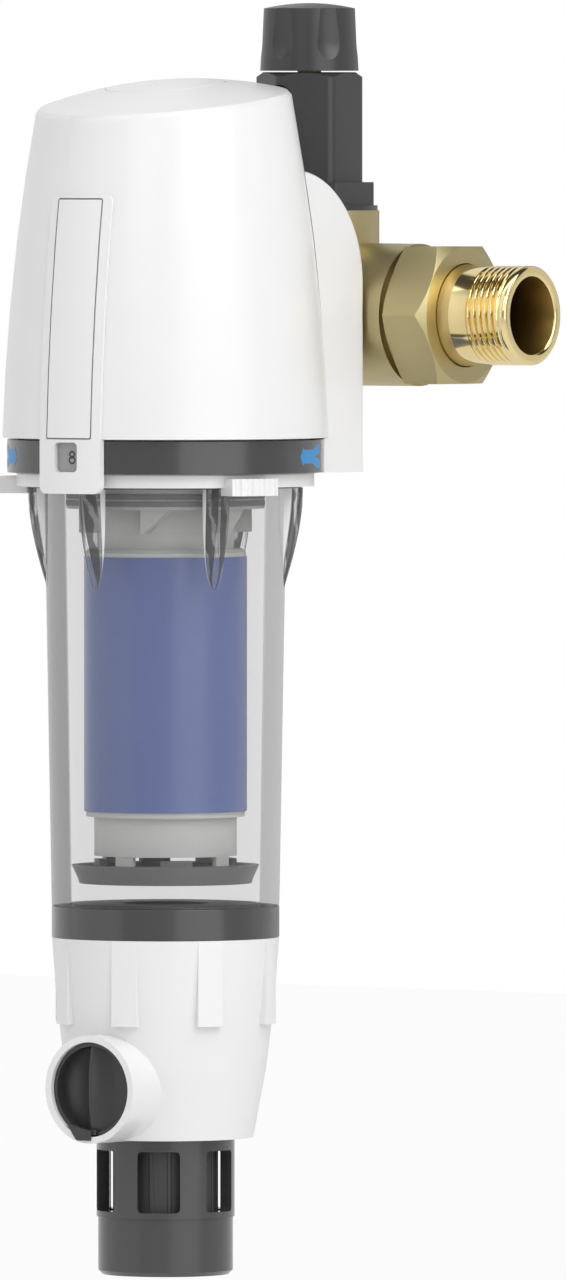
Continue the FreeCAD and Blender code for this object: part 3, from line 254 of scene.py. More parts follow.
# Lower housing: the white moulded funnel that holds the backwash valve. Eight flat ribs give a grip for
# the bowl wrench, and the collar at the front guards the knob.

white_plastic = plastic("white_plastic", rgb(0.735, 0.735, 0.735), rgb(0.76, 0.76, 0.76), 0.30, 0.03, 0.25)
dress("lower_housing", white_plastic, 0.0006)


# Backwash knob: dark moulded disc with a thin grip blade and a pointer at its foot, pushed on the valve
# stem. A quarter turn opens the drain.

knob_plastic = plastic("knob_plastic", rgb(0.030, 0.030, 0.031), rgb(0.040, 0.040, 0.041), 0.30)
knob_low, knob_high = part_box("backwash_knob")
knob_r = knob_high.x
knob_mid = knob_high.z - knob_r
knob_front = knob_low.y
dish_depth = 0.0046
knob_floor = knob_front + dish_depth
knob_rim = knob_front + 0.0010
collar_face = knob_front - 0.0004
rim_gap = 0.0001


def without_pointer(corner):
    """The pointer lies on the collar's face instead of below it, so the disc's own is drawn in."""
    if math.hypot(corner.x, corner.z - knob_mid) > knob_r + rim_gap:
        corner = Vector((corner.x, corner.y, knob_mid - math.sqrt(knob_r ** 2 - corner.x ** 2) + rim_gap))
    return corner


dress("backwash_knob", knob_plastic, 0.0003, 24.0, without_pointer)


def add_piece(name, work, finish, body):
    """Scene object from finished mesh work, on its body."""
    made = meshed(name, work, finish)
    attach(made, body)
    return made


def band(work, first, second):
    """Faces between two rings with as many corners each, in the order of the corners."""
    count = len(first)
    return [work.faces.new((first[n], first[(n + 1) % count], second[(n + 1) % count], second[n]))
            for n in range(count)]


def sheet(work, grid):
    """Faces over an open grid of corners, row by row."""
    for low_row, high_row in zip(grid, grid[1:]):
        for n in range(len(low_row) - 1):
            work.faces.new((low_row[n], low_row[n + 1], high_row[n + 1], high_row[n]))


def knob_blade():
    """Grip blade across the dished disc: a thin crest whose hollow flanks run out into the floor."""
    work = bmesh.new()
    reach = knob_r - 0.0014
    crest_half = 0.00035
    crest_fall = 0.0015
    foot = 0.0115
    hollow = 2.6
    crowding = 1.6
    tip_angle = 89.0
    sink = 0.00005
    rows = 48
    columns = 40
    grid = []
    for row in range(rows + 1):
        up = reach * math.sin(math.radians(-tip_angle + 2 * tip_angle * row / rows))
        half = math.sqrt(reach ** 2 - up ** 2)
        height = dish_depth - crest_fall * (up / reach) ** 2
        line = []
        for column in range(columns + 1):
            share = column / columns * 2 - 1
            side = half * math.copysign(abs(share) ** crowding, share)
            slope = min(max((abs(side) - crest_half) / foot, 0.0), 1.0)
            depth = knob_floor - height * (1 - slope) ** hollow - sink
            line.append(work.verts.new((side, depth, knob_mid + up)))
        grid.append(line)
    sheet(work, grid)
    smooth(work, 38)
    add_piece("knob_blade", work, knob_plastic, body_of("backwash_knob"))


def prism(work, outline, front, back):
    """Plate of an outline of (side, up) points round the knob's middle, from its front to its back."""
    rings = [[work.verts.new((side, depth, knob_mid + up)) for side, up in outline]
             for depth in (front, back)]
    work.faces.new(rings[0])
    work.faces.new(rings[1][::-1])
    band(work, rings[1], rings[0])


def knob_pointer():
    """Pointer that flares out of the rim on the left and lies over the collar's face."""
    work = bmesh.new()
    arm = [(-0.0088, -0.0112), (-0.0066, -0.0148), (-0.0052, -0.0167), (-0.0044, -0.0170), (0.0010, -0.0170),
           (0.0010, -0.0138), (-0.0060, -0.0122)]
    root = [(-0.0086, -0.0112), (-0.0078, -0.0131), (-0.0040, -0.0147), (0.0010, -0.0152), (0.0010, -0.0138),
            (-0.0060, -0.0122)]
    arm_front = collar_face - 0.0006
    arm_back = collar_face - 0.0001
    root_back = knob_rim + 0.0005
    prism(work, arm, arm_front, arm_back)
    prism(work, root, arm_back, root_back)
    bmesh.ops.recalc_face_normals(work, faces=work.faces)
    made = add_piece("knob_pointer", work, knob_plastic, body_of("backwash_knob"))
    soften(made, 0.00015)


def collar_lip():
    """Thin lip of the collar over the pointer's way, from the foot round to the right."""
    work = bmesh.new()
    steps = 48
    start = -112.0
    sweep = 130.0
    lip_in = knob_r + 0.0004
    lip_out = knob_r + 0.0024
    lip_front = -0.00002
    lip_back = 0.00030
    corners = ((lip_in, lip_front), (lip_out, lip_front), (lip_out, lip_back), (lip_in, lip_back))
    sections = []
    for n in range(steps + 1):
        angle = math.radians(start + sweep * n / steps)
        sections.append([work.verts.new((radius * math.cos(angle), collar_face + depth,
                                         knob_mid + radius * math.sin(angle))) for radius, depth in corners])
    for first, second in zip(sections, sections[1:]):
        band(work, first, second)
    work.faces.new(sections[0])
    work.faces.new(sections[-1][::-1])
    bmesh.ops.recalc_face_normals(work, faces=work.faces)
    add_piece("collar_lip", work, white_plastic, body_of("lower_housing"))


knob_blade()
knob_pointer()
collar_lip()


# Backwash valve: plated ball between two plastic seats, with its stem and the gland that guides it.
# The pieces are turned and sit inside the housing.

def metal(name, dark, light, roughness, grain, scale, spread=0.1):
    """Bare metal with a cloudy tone and a fine surface left by its making."""
    def surface(shade):
        colour = noise(shade, 45.0, 3.0).mix(dark, light)
        fine = noise(shade, scale, 4.0, 0.65)
        bump = shade.add("ShaderNodeBump", {}, {"Strength": grain, "Distance": 0.0001, "Height": fine})
        rough = noise(shade, 120.0) * spread + (roughness - spread / 2)
        inputs = {"Base Color": colour, "Roughness": rough, "Normal": bump, "Metallic": 1.0}
        return shade.add("ShaderNodeBsdfPrincipled", {}, inputs)
    return material(name, surface)


steel = metal("steel", rgb(0.50, 0.50, 0.51), rgb(0.62, 0.62, 0.63), 0.25, 0.05, 1800.0)
pale_plastic = plastic("pale_plastic", rgb(0.60, 0.60, 0.59), rgb(0.66, 0.66, 0.65), 0.42)
ball_mid = sum(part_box("drain_ball"), Vector()) / 2
ball_ease = 0.985         # the turned ball keeps free of the seats' rims


def eased(corner):
    """Point of the ball, drawn in towards its middle."""
    return ball_mid + (corner - ball_mid) * ball_ease


dress("drain_ball", steel, change=eased)
dress("valve_stem", steel)
for node in ("ball_seats", "stem_gland"):
    dress(node, pale_plastic)


# Lower ring and seat plate: the dark ring clamps the bowl's foot on the housing, and the dark plate
# inside is the seat that the insert meets at the end of its stroke. A rubber ring seals the plate.

def rubber_surface(shade):
    colour = noise(shade, 60.0).mix(rgb(0.018, 0.018, 0.018), rgb(0.03, 0.03, 0.03))
    rough = noise(shade, 400.0) * 0.2 + 0.5
    return shade.add("ShaderNodeBsdfPrincipled", {}, {"Base Color": colour, "Roughness": rough})


rubber = material("seal_rubber", rubber_surface)
dress("lower_ring", dark_plastic, 0.0003)
dress("seat_plate", nozzle_plastic, 0.0003)
dress("seat_plate_seal", rubber)


# Bowl: clear pressure vessel, moulded in one piece. Its wall is drawn as the turned surfaces inside and
# outside, and six fingers swell out of it towards the flange.

def facing(shade):
    """Gloss term of clear plastic: 1 face on, 0 where one looks along the surface."""
    return 1.0 - shade.add("ShaderNodeLayerWeight", {}, {"Blend": 0.5}, "Facing")


wall_edge = 0.56          # gloss term below which the line of sight stays inside the wall
skin_r = 0.0344           # the outer surface lies beyond this radius
face_smoke = 0.098        # share of grey plastic seen face on
# The two shares differ as painted shade: the wall is darker on the side away from the key light.
lit_smoke = 0.40          # share along the wall, on the side of the key light
shaded_smoke = 0.56       # share along the wall, on the other side
right_x = 0.813           # the picture's right, in the row frame
right_y = 0.582


def clear_surface(shade):
    """Clear plastic drawn as thin: nearly open face on, smoky where one looks along the wall, with painted
    shade away from the key light.
    """
    face_on = facing(shade)
    x, y, z = place(shade).parts()
    to_right = x * right_x + y * right_y
    # Painted shade: more smoke along the wall on the side away from the key light.
    wall_smoke_and_painted_shade = to_right.between(-0.025, 0.030, shaded_smoke, lit_smoke)
    outside = (x * x + y * y).between(skin_r ** 2, (skin_r + 0.0005) ** 2)
    oblique = face_on.between(wall_edge - 0.02, wall_edge + 0.02, 1.0, 0.0) * outside
    smoke_and_painted_shade = oblique * (wall_smoke_and_painted_shade - face_smoke) + face_smoke
    rim = face_on.between(0.0, 0.16, 0.20, 0.0)
    cloud = noise(shade, 14.0) * 0.015
    colour = noise(shade, 9.0).mix(rgb(0.17, 0.17, 0.17), rgb(0.20, 0.20, 0.20))
    body = shade.add("ShaderNodeBsdfPrincipled", {}, {"Base Color": colour, "Roughness": 0.12, "IOR": 1.5})
    open_view = shade.add("ShaderNodeBsdfTransparent", {}, {"Color": rgb(1.0, 1.0, 1.0)})
    return (smoke_and_painted_shade + rim + cloud).blend(open_view, body)


clear = material("clear_bowl", clear_surface)
low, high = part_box("bowl")
bowl_foot = low.z
bowl_top = high.z
ring_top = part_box("lower_ring")[1].z
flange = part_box("slip_washer")[0].z
foot_r = 0.0380
top_r = 0.0404
bore_foot_r = 0.0317
bore_top_r = 0.0333
neck_r = 0.0406
spigot_r = 0.0351
foot_edge = 0.0004
bore_step = 0.0117
outer = [(spigot_r, bowl_foot), (spigot_r, ring_top), (foot_r - foot_edge, ring_top),
         (foot_r, ring_top + foot_edge)]
outer += [(foot_r + (top_r - foot_r) * n / 8, ring_top + (flange - ring_top) * n / 8) for n in range(1, 9)]
outer += [(neck_r, bowl_top)]
inner = [(bore_top_r, bowl_top), (bore_top_r, flange - bore_step), (bore_foot_r, ring_top),
         (bore_foot_r, bowl_foot)]


def bowl_wall(outline, steps):
    """Turned wall from a closed outline of (radius, height) points, smooth along its gentle bends."""
    work = bmesh.new()
    rings = []
    for radius, height in outline:
        ring = []
        for n in range(steps):
            angle = 2 * math.pi * n / steps
            ring.append(work.verts.new((radius * math.sin(angle), -radius * math.cos(angle), height)))
        rings.append(ring)
    for below, above in zip(rings, rings[1:] + rings[:1]):
        band(work, below, above)
    bmesh.ops.recalc_face_normals(work, faces=work.faces)
    smooth(work, 32)
    return show(meshed("bowl_wall", work, clear), "bowl", "filter_body")


bowl_wall(outer + inner, 160)


def finger_surface(shade):
    """Thick clear ridge with the view it bends painted on: two dark flanks of painted shade round a pale
    tongue, and pale outlines as painted highlights.
    """
    tongue_aside = 0.10
    flank_cover = 0.80
    line_cover = 0.85
    least_cover = 0.08
    across = shade.add("ShaderNodeAttribute", {"attribute_name": "across"}, {}, 2)
    along = shade.add("ShaderNodeAttribute", {"attribute_name": "along"}, {}, 2)
    wave = noise(shade, 90.0, 3.0) - 0.5
    side = across + wave * 0.24
    tongue_half = along.between(0.0, 0.75, 0.26, 0.06)
    tongue = shade.maths("ABSOLUTE", side + tongue_aside)
    # The dark flanks are painted shade, the dark that the thick ridge bends into view.
    dark = shade.maths("GREATER_THAN", tongue, tongue_half) * side.between(0.60, 0.72, 1.0, 0.0)
    # Painted streaks of shade, where the ridge bends the view at its sides.
    painted_streak = shade.maths("SINE", across * 31.0 + along * 9.0 + wave * 14.0).between(0.45, 0.85)
    # The pale outlines are painted highlights along the ridge's edges.
    line = shade.maths("ABSOLUTE", across).between(0.80, 0.88)
    # Painted lighter veins break up the painted shade of the flanks.
    painted_light_vein = shade.maths("SINE", across * 8.0 + along * 7.0 + wave * 9.0).between(0.35, 0.95)
    painted_shade = shade.maths("MAXIMUM", dark * (1.0 - painted_light_vein * 0.40), painted_streak * 0.45)
    colour = painted_shade.mix(rgb(0.42, 0.42, 0.42), rgb(0.05, 0.05, 0.05))
    colour = line.mix(colour, rgb(0.90, 0.90, 0.90))
    body = shade.add("ShaderNodeBsdfPrincipled", {}, {"Base Color": colour, "Roughness": 0.1, "IOR": 1.5})
    open_view = shade.add("ShaderNodeBsdfTransparent", {}, {"Color": rgb(1.0, 1.0, 1.0)})
    cover = shade.maths("MAXIMUM", painted_shade * flank_cover * (1.0 - line), line * line_cover) + least_cover
    return cover.blend(open_view, body)


finger_glass = material("finger_glass", finger_surface)


def finger(name, turn):
    """Outer skin of one finger: round-nosed sections that lean out towards the flange."""
    rows = 28
    columns = 18
    foot_half = 0.0003
    top_half = 0.0044
    rib_height = 0.0335
    swell = 2.6
    nose_reach = 0.0063
    sink = 0.0006
    under_skin = 0.0001
    work = bmesh.new()
    across = work.verts.layers.float.new("across")
    along = work.verts.layers.float.new("along")
    grid = []
    for row in range(rows + 1):
        share = row / rows
        height = flange - rib_height * (1 - share)
        wall = foot_r + (top_r - foot_r) * (height - ring_top) / (flange - ring_top)
        reach = nose_reach * math.sin(share * math.pi / 2) - sink
        nose = top_r + reach
        half = max(foot_half, top_half * math.sqrt(1 - (1 - share) ** swell))
        line = []
        for column in range(columns + 1):
            side = column / columns * 2 - 1
            width = half * math.sin(side * math.pi / 2)
            out = nose - half + math.sqrt(max(half * half - width * width, 0.0))
            skin = math.sqrt(wall * wall - width * width) - under_skin
            depth = max(out, skin)
            if abs(side) == 1:
                depth = skin
            corner = work.verts.new((width, -depth, height))
            corner[across] = side
            corner[along] = share
            line.append(corner)
        grid.append(line)
    sheet(work, grid)
    smooth(work, 180)
    bmesh.ops.rotate(work, verts=work.verts, cent=(0, 0, 0), matrix=Matrix.Rotation(turn, 3, "Z"))
    add_piece(name, work, finger_glass, "filter_body")


for n in range(6):
    finger("bowl_finger_%d" % (n + 1), math.radians(60 * n))


# Lock ring, slip washer and clip: the white ring carries the bowl on a bayonet and is turned by its two
# fluted grips. A plastic washer and an open ring clip let it turn on the bowl.

dress("lock_ring", white_plastic, 0.0004)
# The washer is dark as painted shade: it stands for the shadow in the gap over the bowl's fingers.
dress("slip_washer", nozzle_plastic)
dress("retaining_clip", steel)


# Month ring: dark moulded ring that snaps under the head and is turned by hand to the month of the next
# backwash. Two blue arrows are printed on it.

dress("month_ring", dark_plastic, 0.0003)


def blue_print(shade):
    colour = noise(shade, 300.0).mix(rgb(0.024, 0.21, 0.48), rgb(0.032, 0.24, 0.54))
    return shade.add("ShaderNodeBsdfPrincipled", {}, {"Base Color": colour, "Roughness": 0.4})


arrow_blue = material("arrow_blue", blue_print)
arrow = [(-0.0078, 0.0, 0.0001), (-0.0058, 0.0, 0.0032), (-0.0053, 0.0, 0.0023), (0.0010, 0.0, 0.0023),
         (0.0030, 0.0, 0.0031), (0.0052, 0.0004, 0.0039), (0.0090, 0.0012, 0.0039)]
month_low, month_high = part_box("month_ring")
month_mid = (month_low.z + month_high.z) / 2
ink_lift = 0.00003
print_r = month_high.x + ink_lift


def month_arrow(name, turn, side):
    """Thin print round the ring. The arrow's columns are (along, inner, outer), alike above and below."""
    work = bmesh.new()
    steps = 8
    for half in (1, -1):
        last = None
        for first, second in zip(arrow, arrow[1:]):
            for n in range(steps + (second is arrow[-1])):
                along, inner, outer = (a + (b - a) * n / steps for a, b in zip(first, second))
                angle = math.radians(turn) + side * along / print_r
                pair = [work.verts.new((print_r * math.sin(angle), -print_r * math.cos(angle),
                                        month_mid + half * up)) for up in (inner, outer)]
                if last:
                    work.faces.new((last[0], pair[0], pair[1], last[1]))
                last = pair
    smooth(work, 180)
    add_piece(name, work, arrow_blue, "month_ring")


month_arrow("month_arrow_left", -41.8, -1)
month_arrow("month_arrow_right", 102.4, 1)


# Head: moulded manifold under the hood. It leads the water down round the insert and back up through
# its middle, and carries the seals, the screws and the gasket of the pipe body.

dress("head_body", pale_plastic, 0.0002)
for node in ("insert_seal", "port_gasket"):
    dress(node, rubber)
seal_grey = plastic("seal_grey", rgb(0.24, 0.24, 0.24), rgb(0.28, 0.28, 0.28), 0.5)
dress("spigot_seals", seal_grey)
dress("flange_screws", steel)


# Filter insert: dark funnel ring, white cage base, cap and guide vanes, all moulded, round a cage that
# the blue mesh is welded on. It slides down as one piece during the backwash.

insert_plastic = plastic("insert_plastic", rgb(0.56, 0.56, 0.55), rgb(0.62, 0.62, 0.61), 0.45)
funnel_plastic = plastic("funnel_plastic", rgb(0.155, 0.155, 0.155), rgb(0.185, 0.185, 0.185), 0.38)
dress("funnel_ring", funnel_plastic, 0.0002)
for node in ("cage_base", "insert_cap", "vane_ring"):
    dress(node, insert_plastic, 0.0003)
for node in ("mesh_cage", "insert_collar", "spray_rotor"):
    dress(node, pale_plastic)


def mesh_surface(shade):
    """Woven mesh: two sets of fine wires as a relief, blue with paler painted highlights where the weave
    stands high.
    """
    wires_round = 560.0
    wires_up = 20500.0
    x, y, z = place(shade).parts()
    turn = shade.maths("ARCTAN2", y, x)
    upright = shade.maths("SINE", turn * wires_round)
    level = shade.maths("SINE", z * wires_up)
    weave = upright * level
    # Painted highlight: the colour is paler where the weave stands high; the noise is a random tone.
    tone = weave * 0.12 + 0.5 + (noise(shade, 18.0) - 0.5) * 0.25
    colour = tone.mix(rgb(0.085, 0.125, 0.33), rgb(0.14, 0.185, 0.43))
    bump = shade.add("ShaderNodeBump", {}, {"Strength": 0.15, "Distance": 0.00006, "Height": weave})
    inputs = {"Base Color": colour, "Roughness": 0.30, "Normal": bump, "Coat Weight": 0.55,
              "Coat Roughness": 0.18}
    return shade.add("ShaderNodeBsdfPrincipled", {}, inputs)


blue_mesh = material("blue_mesh", mesh_surface)
dress("filter_mesh", blue_mesh)


def coil(name, node, radius, wire, turns):
    """Wound spring of round wire between the heights of its CAD node, with closed ends."""
    low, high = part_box(node)
    middle = (low + high) / 2
    curve = bpy.data.curves.new(name, "CURVE")
    curve.dimensions = "3D"
    curve.bevel_depth = wire
    curve.bevel_resolution = 3
    line = curve.splines.new("POLY")
    steps = 32 * turns
    line.points.add(steps)
    for n in range(steps + 1):
        share = n / steps
        rise = share - math.sin(2 * math.pi * share) / (2 * math.pi * turns)
        angle = 2 * math.pi * turns * share
        height = low.z + wire + (high.z - low.z - 2 * wire) * rise
        point = (middle.x + radius * math.cos(angle), middle.y + radius * math.sin(angle), height, 1)
        line.points[n].co = point
    curve.materials.append(steel)
    return show(linked(name, curve), node, body_of(node))


coil("insert_spring_wire", "insert_spring", radius=0.01665, wire=0.0010, turns=4)


# Hood: high-gloss white cover over the head, with a domed top that leans to the front and a flush
# round cap. It is moulded and clips on the head's rim.

dress("hood", white_plastic, 0.0008, 28.0)
dress("hood_cap", white_plastic, 0.0003)


# Front plate: raised white strip with an inset panel, and a window at its foot that shows the number on
# a grey plate behind. The three are moulded in plastic, and the number is printed.

label_plastic = plastic("label_plastic", rgb(0.745, 0.745, 0.745), rgb(0.765, 0.765, 0.765), 0.30, 0.03, 0.25)
number_grey = plastic("number_grey", rgb(0.27, 0.27, 0.27), rgb(0.31, 0.31, 0.31), 0.45)
dress("front_plate", white_plastic, 0.0003)
# The seam's dark grey is painted shadow: the shade in the thin groove round the panel.
painted_seam_shadow = plastic("painted_seam_shadow", rgb(0.060, 0.060, 0.064), rgb(0.075, 0.075, 0.080), 0.5)


def panel_with_seam_shadow():
    """The inset panel, with a thin dark ring of painted shadow round its edge where the groove's shade falls.
    """
    seam = 0.0003
    forward = -0.6
    work = bmesh.new()
    work.from_mesh(frame["nodes"]["label_panel"].data)
    bmesh.ops.remove_doubles(work, verts=work.verts, dist=weld)
    bmesh.ops.recalc_face_normals(work, faces=work.faces)
    front = [face for face in work.faces if face.normal.y < forward]
    ring = bmesh.ops.inset_region(work, faces=front, thickness=seam, use_even_offset=True)["faces"]
    for face in work.faces:
        face.material_index = 0
        face.smooth = face.normal.y < forward
    # The inset ring round the panel's front takes the painted shadow.
    for face in ring:
        face.material_index = 1
    made = meshed("label_panel_finished", work, label_plastic, painted_seam_shadow)
    return show(made, "label_panel", body_of("label_panel"))


panel_with_seam_shadow()
dress("number_plate", number_grey)


def ink_surface(shade):
    colour = noise(shade, 500.0).mix(rgb(0.03, 0.03, 0.035), rgb(0.05, 0.05, 0.055))
    return shade.add("ShaderNodeBsdfPrincipled", {}, {"Base Color": colour, "Roughness": 0.5})


ink = material("ink", ink_surface)
number_low, number_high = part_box("number_plate")
number_r = -number_low.y + ink_lift
number_mid = (number_low + number_high) / 2
digit_x = number_mid.x + 0.0015
loop_rise = 0.0010
stroke = 0.0006


def number_loop(name, width, height, up):
    """Printed oval line laid on the number plate: one of the two loops of the number."""
    steps = 40
    work = bmesh.new()
    rows = []
    for grow in (0.0, -stroke):
        row = []
        for n in range(steps):
            angle = 2 * math.pi * n / steps
            across = digit_x + (width / 2 + grow) * math.cos(angle)
            row.append(work.verts.new((across, -math.sqrt(number_r ** 2 - across ** 2),
                                       up + (height / 2 + grow) * math.sin(angle))))
        rows.append(row)
    band(work, *rows)
    add_piece(name, work, ink, "filter_body")


number_loop("number_loop_low", 0.0029, 0.0026, number_mid.z - loop_rise)
number_loop("number_loop_high", 0.0025, 0.0023, number_mid.z + loop_rise)


# Rear cover: white saddle between the hood and the pipe body, with a quarter-round top. It is moulded
# like the hood and clips on behind it, over the joint of the head and the pipe body.

dress("rear_cover", white_plastic, 0.0006, 28.0)


# Brass pipe body: hot-pressed and blasted, with turned beads and an upright neck for the reducer.
# The union nuts are of the same satin brass.

cast_brass = metal("cast_brass", rgb(0.45, 0.385, 0.205), rgb(0.52, 0.445, 0.24), 0.42, 0.35, 1500.0)
pipe_mid = sum(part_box("union_tail_right"), Vector()) / 2
bead_r = 0.0239
bead_from = 0.0405
bead_to = 0.0456
nut_from = 0.0475
nut_to = 0.0644
thread_end = 0.0544
gasket_end = 0.0564
cad_bead_from = 0.0375
cad_bead_to = 0.0400
cad_thread_end = 0.0500
cad_gasket_end = 0.0520
near = 0.0001
run_planes = ((cad_bead_from - near, bead_from), (cad_bead_from + near, bead_from),
              (cad_bead_to - near, bead_to), (cad_bead_to + near, bead_to),
              (cad_thread_end - near, thread_end), (cad_gasket_end + near, gasket_end))


def stretch(corner):
    """The run's planes move out to the bead's and the thread's real places, and the bead to its size."""
    along = abs(corner.x)
    if along > run_planes[0][0]:
        for (low, low_to), (high, high_to) in zip(run_planes, run_planes[1:]):
            if low <= along <= high:
                along = low_to + (high_to - low_to) * (along - low) / (high - low)
                break
        radius = math.hypot(corner.y - pipe_mid.y, corner.z - pipe_mid.z)
        shrink = min(1.0, bead_r / radius) if radius > 0 else 1.0
        corner = Vector((math.copysign(along, corner.x), pipe_mid.y + (corner.y - pipe_mid.y) * shrink,
                         pipe_mid.z + (corner.z - pipe_mid.z) * shrink))
    return corner


dress("brass_body", cast_brass, 0.0006, change=stretch)
dress("union_gaskets", rubber, change=stretch)


def turned(work, outline, side, steps):
    """Turned solid about the pipe from a closed outline of (along, radius) points."""
    rings = []
    for along, radius in outline:
        ring = []
        for n in range(steps):
            angle = 2 * math.pi * n / steps
            ring.append(work.verts.new((side * along, pipe_mid.y + radius * math.cos(angle),
                                        pipe_mid.z + radius * math.sin(angle))))
        rings.append(ring)
    for first, second in zip(rings, rings[1:] + rings[:1]):
        band(work, first, second)
    bmesh.ops.recalc_face_normals(work, faces=work.faces)


def union_nut(node, side):
    """Hexagon with a corner to the front, turned to a cone at its outer end and bored for the tail."""
    flats_half = 0.0230
    corner = flats_half / math.cos(math.radians(30))
    work = bmesh.new()
    rings = []
    for along in (nut_from, nut_to):
        ring = []
        for n in range(6):
            angle = math.radians(60 * n)
            ring.append(work.verts.new((side * along, pipe_mid.y - corner * math.cos(angle),
                                        pipe_mid.z + corner * math.sin(angle))))
        rings.append(ring)
    band(work, *rings)
    work.faces.new(rings[0])
    work.faces.new(rings[1])
    bmesh.ops.recalc_face_normals(work, faces=work.faces)
    hexagon = meshed(node + "_hexagon", work)
    thread_bore = 0.0212
    tail_hole = 0.0174
    back_r = 0.0236
    back_slope = 0.0024
    cone_r = 0.0228
    cone_slope = 0.65
    front_r = 0.0200
    front_wall = 0.0042
    reach = 0.0290
    over = 0.0005
    outline = [(nut_from - over, thread_bore), (nut_from, back_r), (nut_from + back_slope, reach),
               (nut_to - (reach - cone_r) * cone_slope, reach), (nut_to, cone_r), (nut_to + over, front_r),
               (nut_to + over, tail_hole), (nut_to - front_wall, tail_hole),
               (nut_to - front_wall, thread_bore)]
    work = bmesh.new()
    turned(work, outline, side, 144)
    turning = meshed(node + "_turning", work)
    cut = hexagon.modifiers.new("turning", "BOOLEAN")
    cut.operation = "INTERSECT"
    cut.solver = "EXACT"
    cut.object = turning
    bpy.context.view_layer.update()
    graph = bpy.context.evaluated_depsgraph_get()
    work = bmesh.new()
    work.from_mesh(hexagon.evaluated_get(graph).to_mesh())
    bpy.data.objects.remove(hexagon)
    bpy.data.objects.remove(turning)
    for face in work.faces:
        face.material_index = 0
    smooth(work, 14)
    nut = meshed(node + "_cut", work, cast_brass)
    soften(nut, 0.00025, 14.0)
    return show(nut, node, body_of(node))


union_nut("union_nut_right", 1)
union_nut("union_nut_left", -1)


# Union tails: turned and polished brass sleeves with a collar inside the nut, a plain neck and a
# one-inch pipe thread at the end.

bright_brass = metal("bright_brass", rgb(0.84, 0.68, 0.34), rgb(0.90, 0.74, 0.39), 0.10, 0.02, 900.0, 0.04)


def bore_surface(shade):
    """Bore of the sleeve, a darker brass than the outside, with a soft sheen along it."""
    colour = noise(shade, 60.0, 3.0).mix(rgb(0.20, 0.13, 0.035), rgb(0.30, 0.20, 0.06))
    inputs = {"Base Color": colour, "Roughness": 0.40, "Metallic": 1.0}
    return shade.add("ShaderNodeBsdfPrincipled", {}, inputs)


bore_brass = material("bore_brass", bore_surface)
satin_brass = metal("satin_brass", rgb(0.62, 0.47, 0.20), rgb(0.70, 0.54, 0.24), 0.34, 0.1, 1200.0)


def tail(node):
    """Sleeve turned about the pipe, whose thread is a helix cut below the crest."""
    low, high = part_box(node)
    side = 1 if high.x > 0 else -1
    end = max(abs(low.x), abs(high.x))
    bore = 0.0130
    neck = 0.0164
    collar_r = 0.0198
    shoulder_r = 0.0171
    slope_r = 0.0169
    crest = 0.01662
    pitch = 0.002309
    depth = 0.0013
    flank = 2.4
    root = 0.30
    run_out = 0.0012
    edge = 0.0006
    collar_in = nut_to - 0.0080
    collar_out = nut_to - 0.0045
    slope_from = nut_to + 0.0022
    neck_from = nut_to + 0.0043
    thread_from = end - 0.0156
    thread_to = end - 0.0026
    bore_in = end - 0.0200
    steps = 160
    rows = 96
    thread = [(thread_from + (thread_to - thread_from) * n / rows, None) for n in range(rows + 1)]
    profile = [(collar_in, bore), (collar_in, collar_r), (collar_out, collar_r), (collar_out, shoulder_r)]
    profile += [(nut_to, shoulder_r), (slope_from, slope_r), (neck_from, neck)]
    profile += [(thread_from - 0.0007, neck), (thread_from - 0.0004, neck - edge)]
    profile += thread + [(thread_to + 0.0004, crest), (end - edge, crest), (end, crest - edge)]
    profile += [(end, bore + 0.0005), (end - 0.0005, bore), (bore_in, bore)]
    work = bmesh.new()
    rings = []
    for along, radius in profile:
        ring = []
        for n in range(steps):
            angle = 2 * math.pi * n / steps
            here = radius
            if radius is None:
                phase = ((along - thread_from) / pitch - side * n / steps) % 1.0
                ridge = min(1.0, max(0.0, flank * (1 - abs(2 * phase - 1)) - root))
                cut = min(1.0, max(0.0, (thread_to - along) / run_out))
                here = crest - depth * (1 - ridge) * cut
            ring.append(work.verts.new((side * along, pipe_mid.y + here * math.cos(angle),
                                        pipe_mid.z + here * math.sin(angle))))
        rings.append(ring)
    for first, second, (along, radius) in zip(rings, rings[1:] + rings[:1], profile):
        for face in band(work, first, second):
            if radius == bore:
                face.material_index = 2
            elif radius and collar_out <= along < neck_from:
                face.material_index = 1
    bmesh.ops.recalc_face_normals(work, faces=work.faces)
    smooth(work, 50)
    made = meshed(node + "_turned", work, bright_brass, satin_brass, bore_brass)
    return show(made, node, "filter_body")


tail("union_tail_right")
tail("union_tail_left")


# Pressure reducer: brass seat and piston in the body, a steel spring under a black hexagonal bonnet,
# and a fluted knob on the spindle that sets the outlet pressure.

black_plastic = plastic("black_plastic", rgb(0.031, 0.031, 0.032), rgb(0.038, 0.038, 0.039), 0.32)
for node in ("valve_seat", "reducer_piston", "spring_plate", "setting_spindle"):
    dress(node, cast_brass)
dress("piston_seal", rubber)
coil("main_spring_wire", "main_spring", radius=0.0102, wire=0.0014, turns=5)
dress("bonnet", black_plastic, 0.0004)
dress("setting_knob", black_plastic, 0.0004, 20.0)


# Studio: a pale floor below the filter and two soft lamps. The floor reads almost white to the camera
# and still takes the filter's shadow.

lo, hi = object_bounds()
centre = (lo + hi) / 2


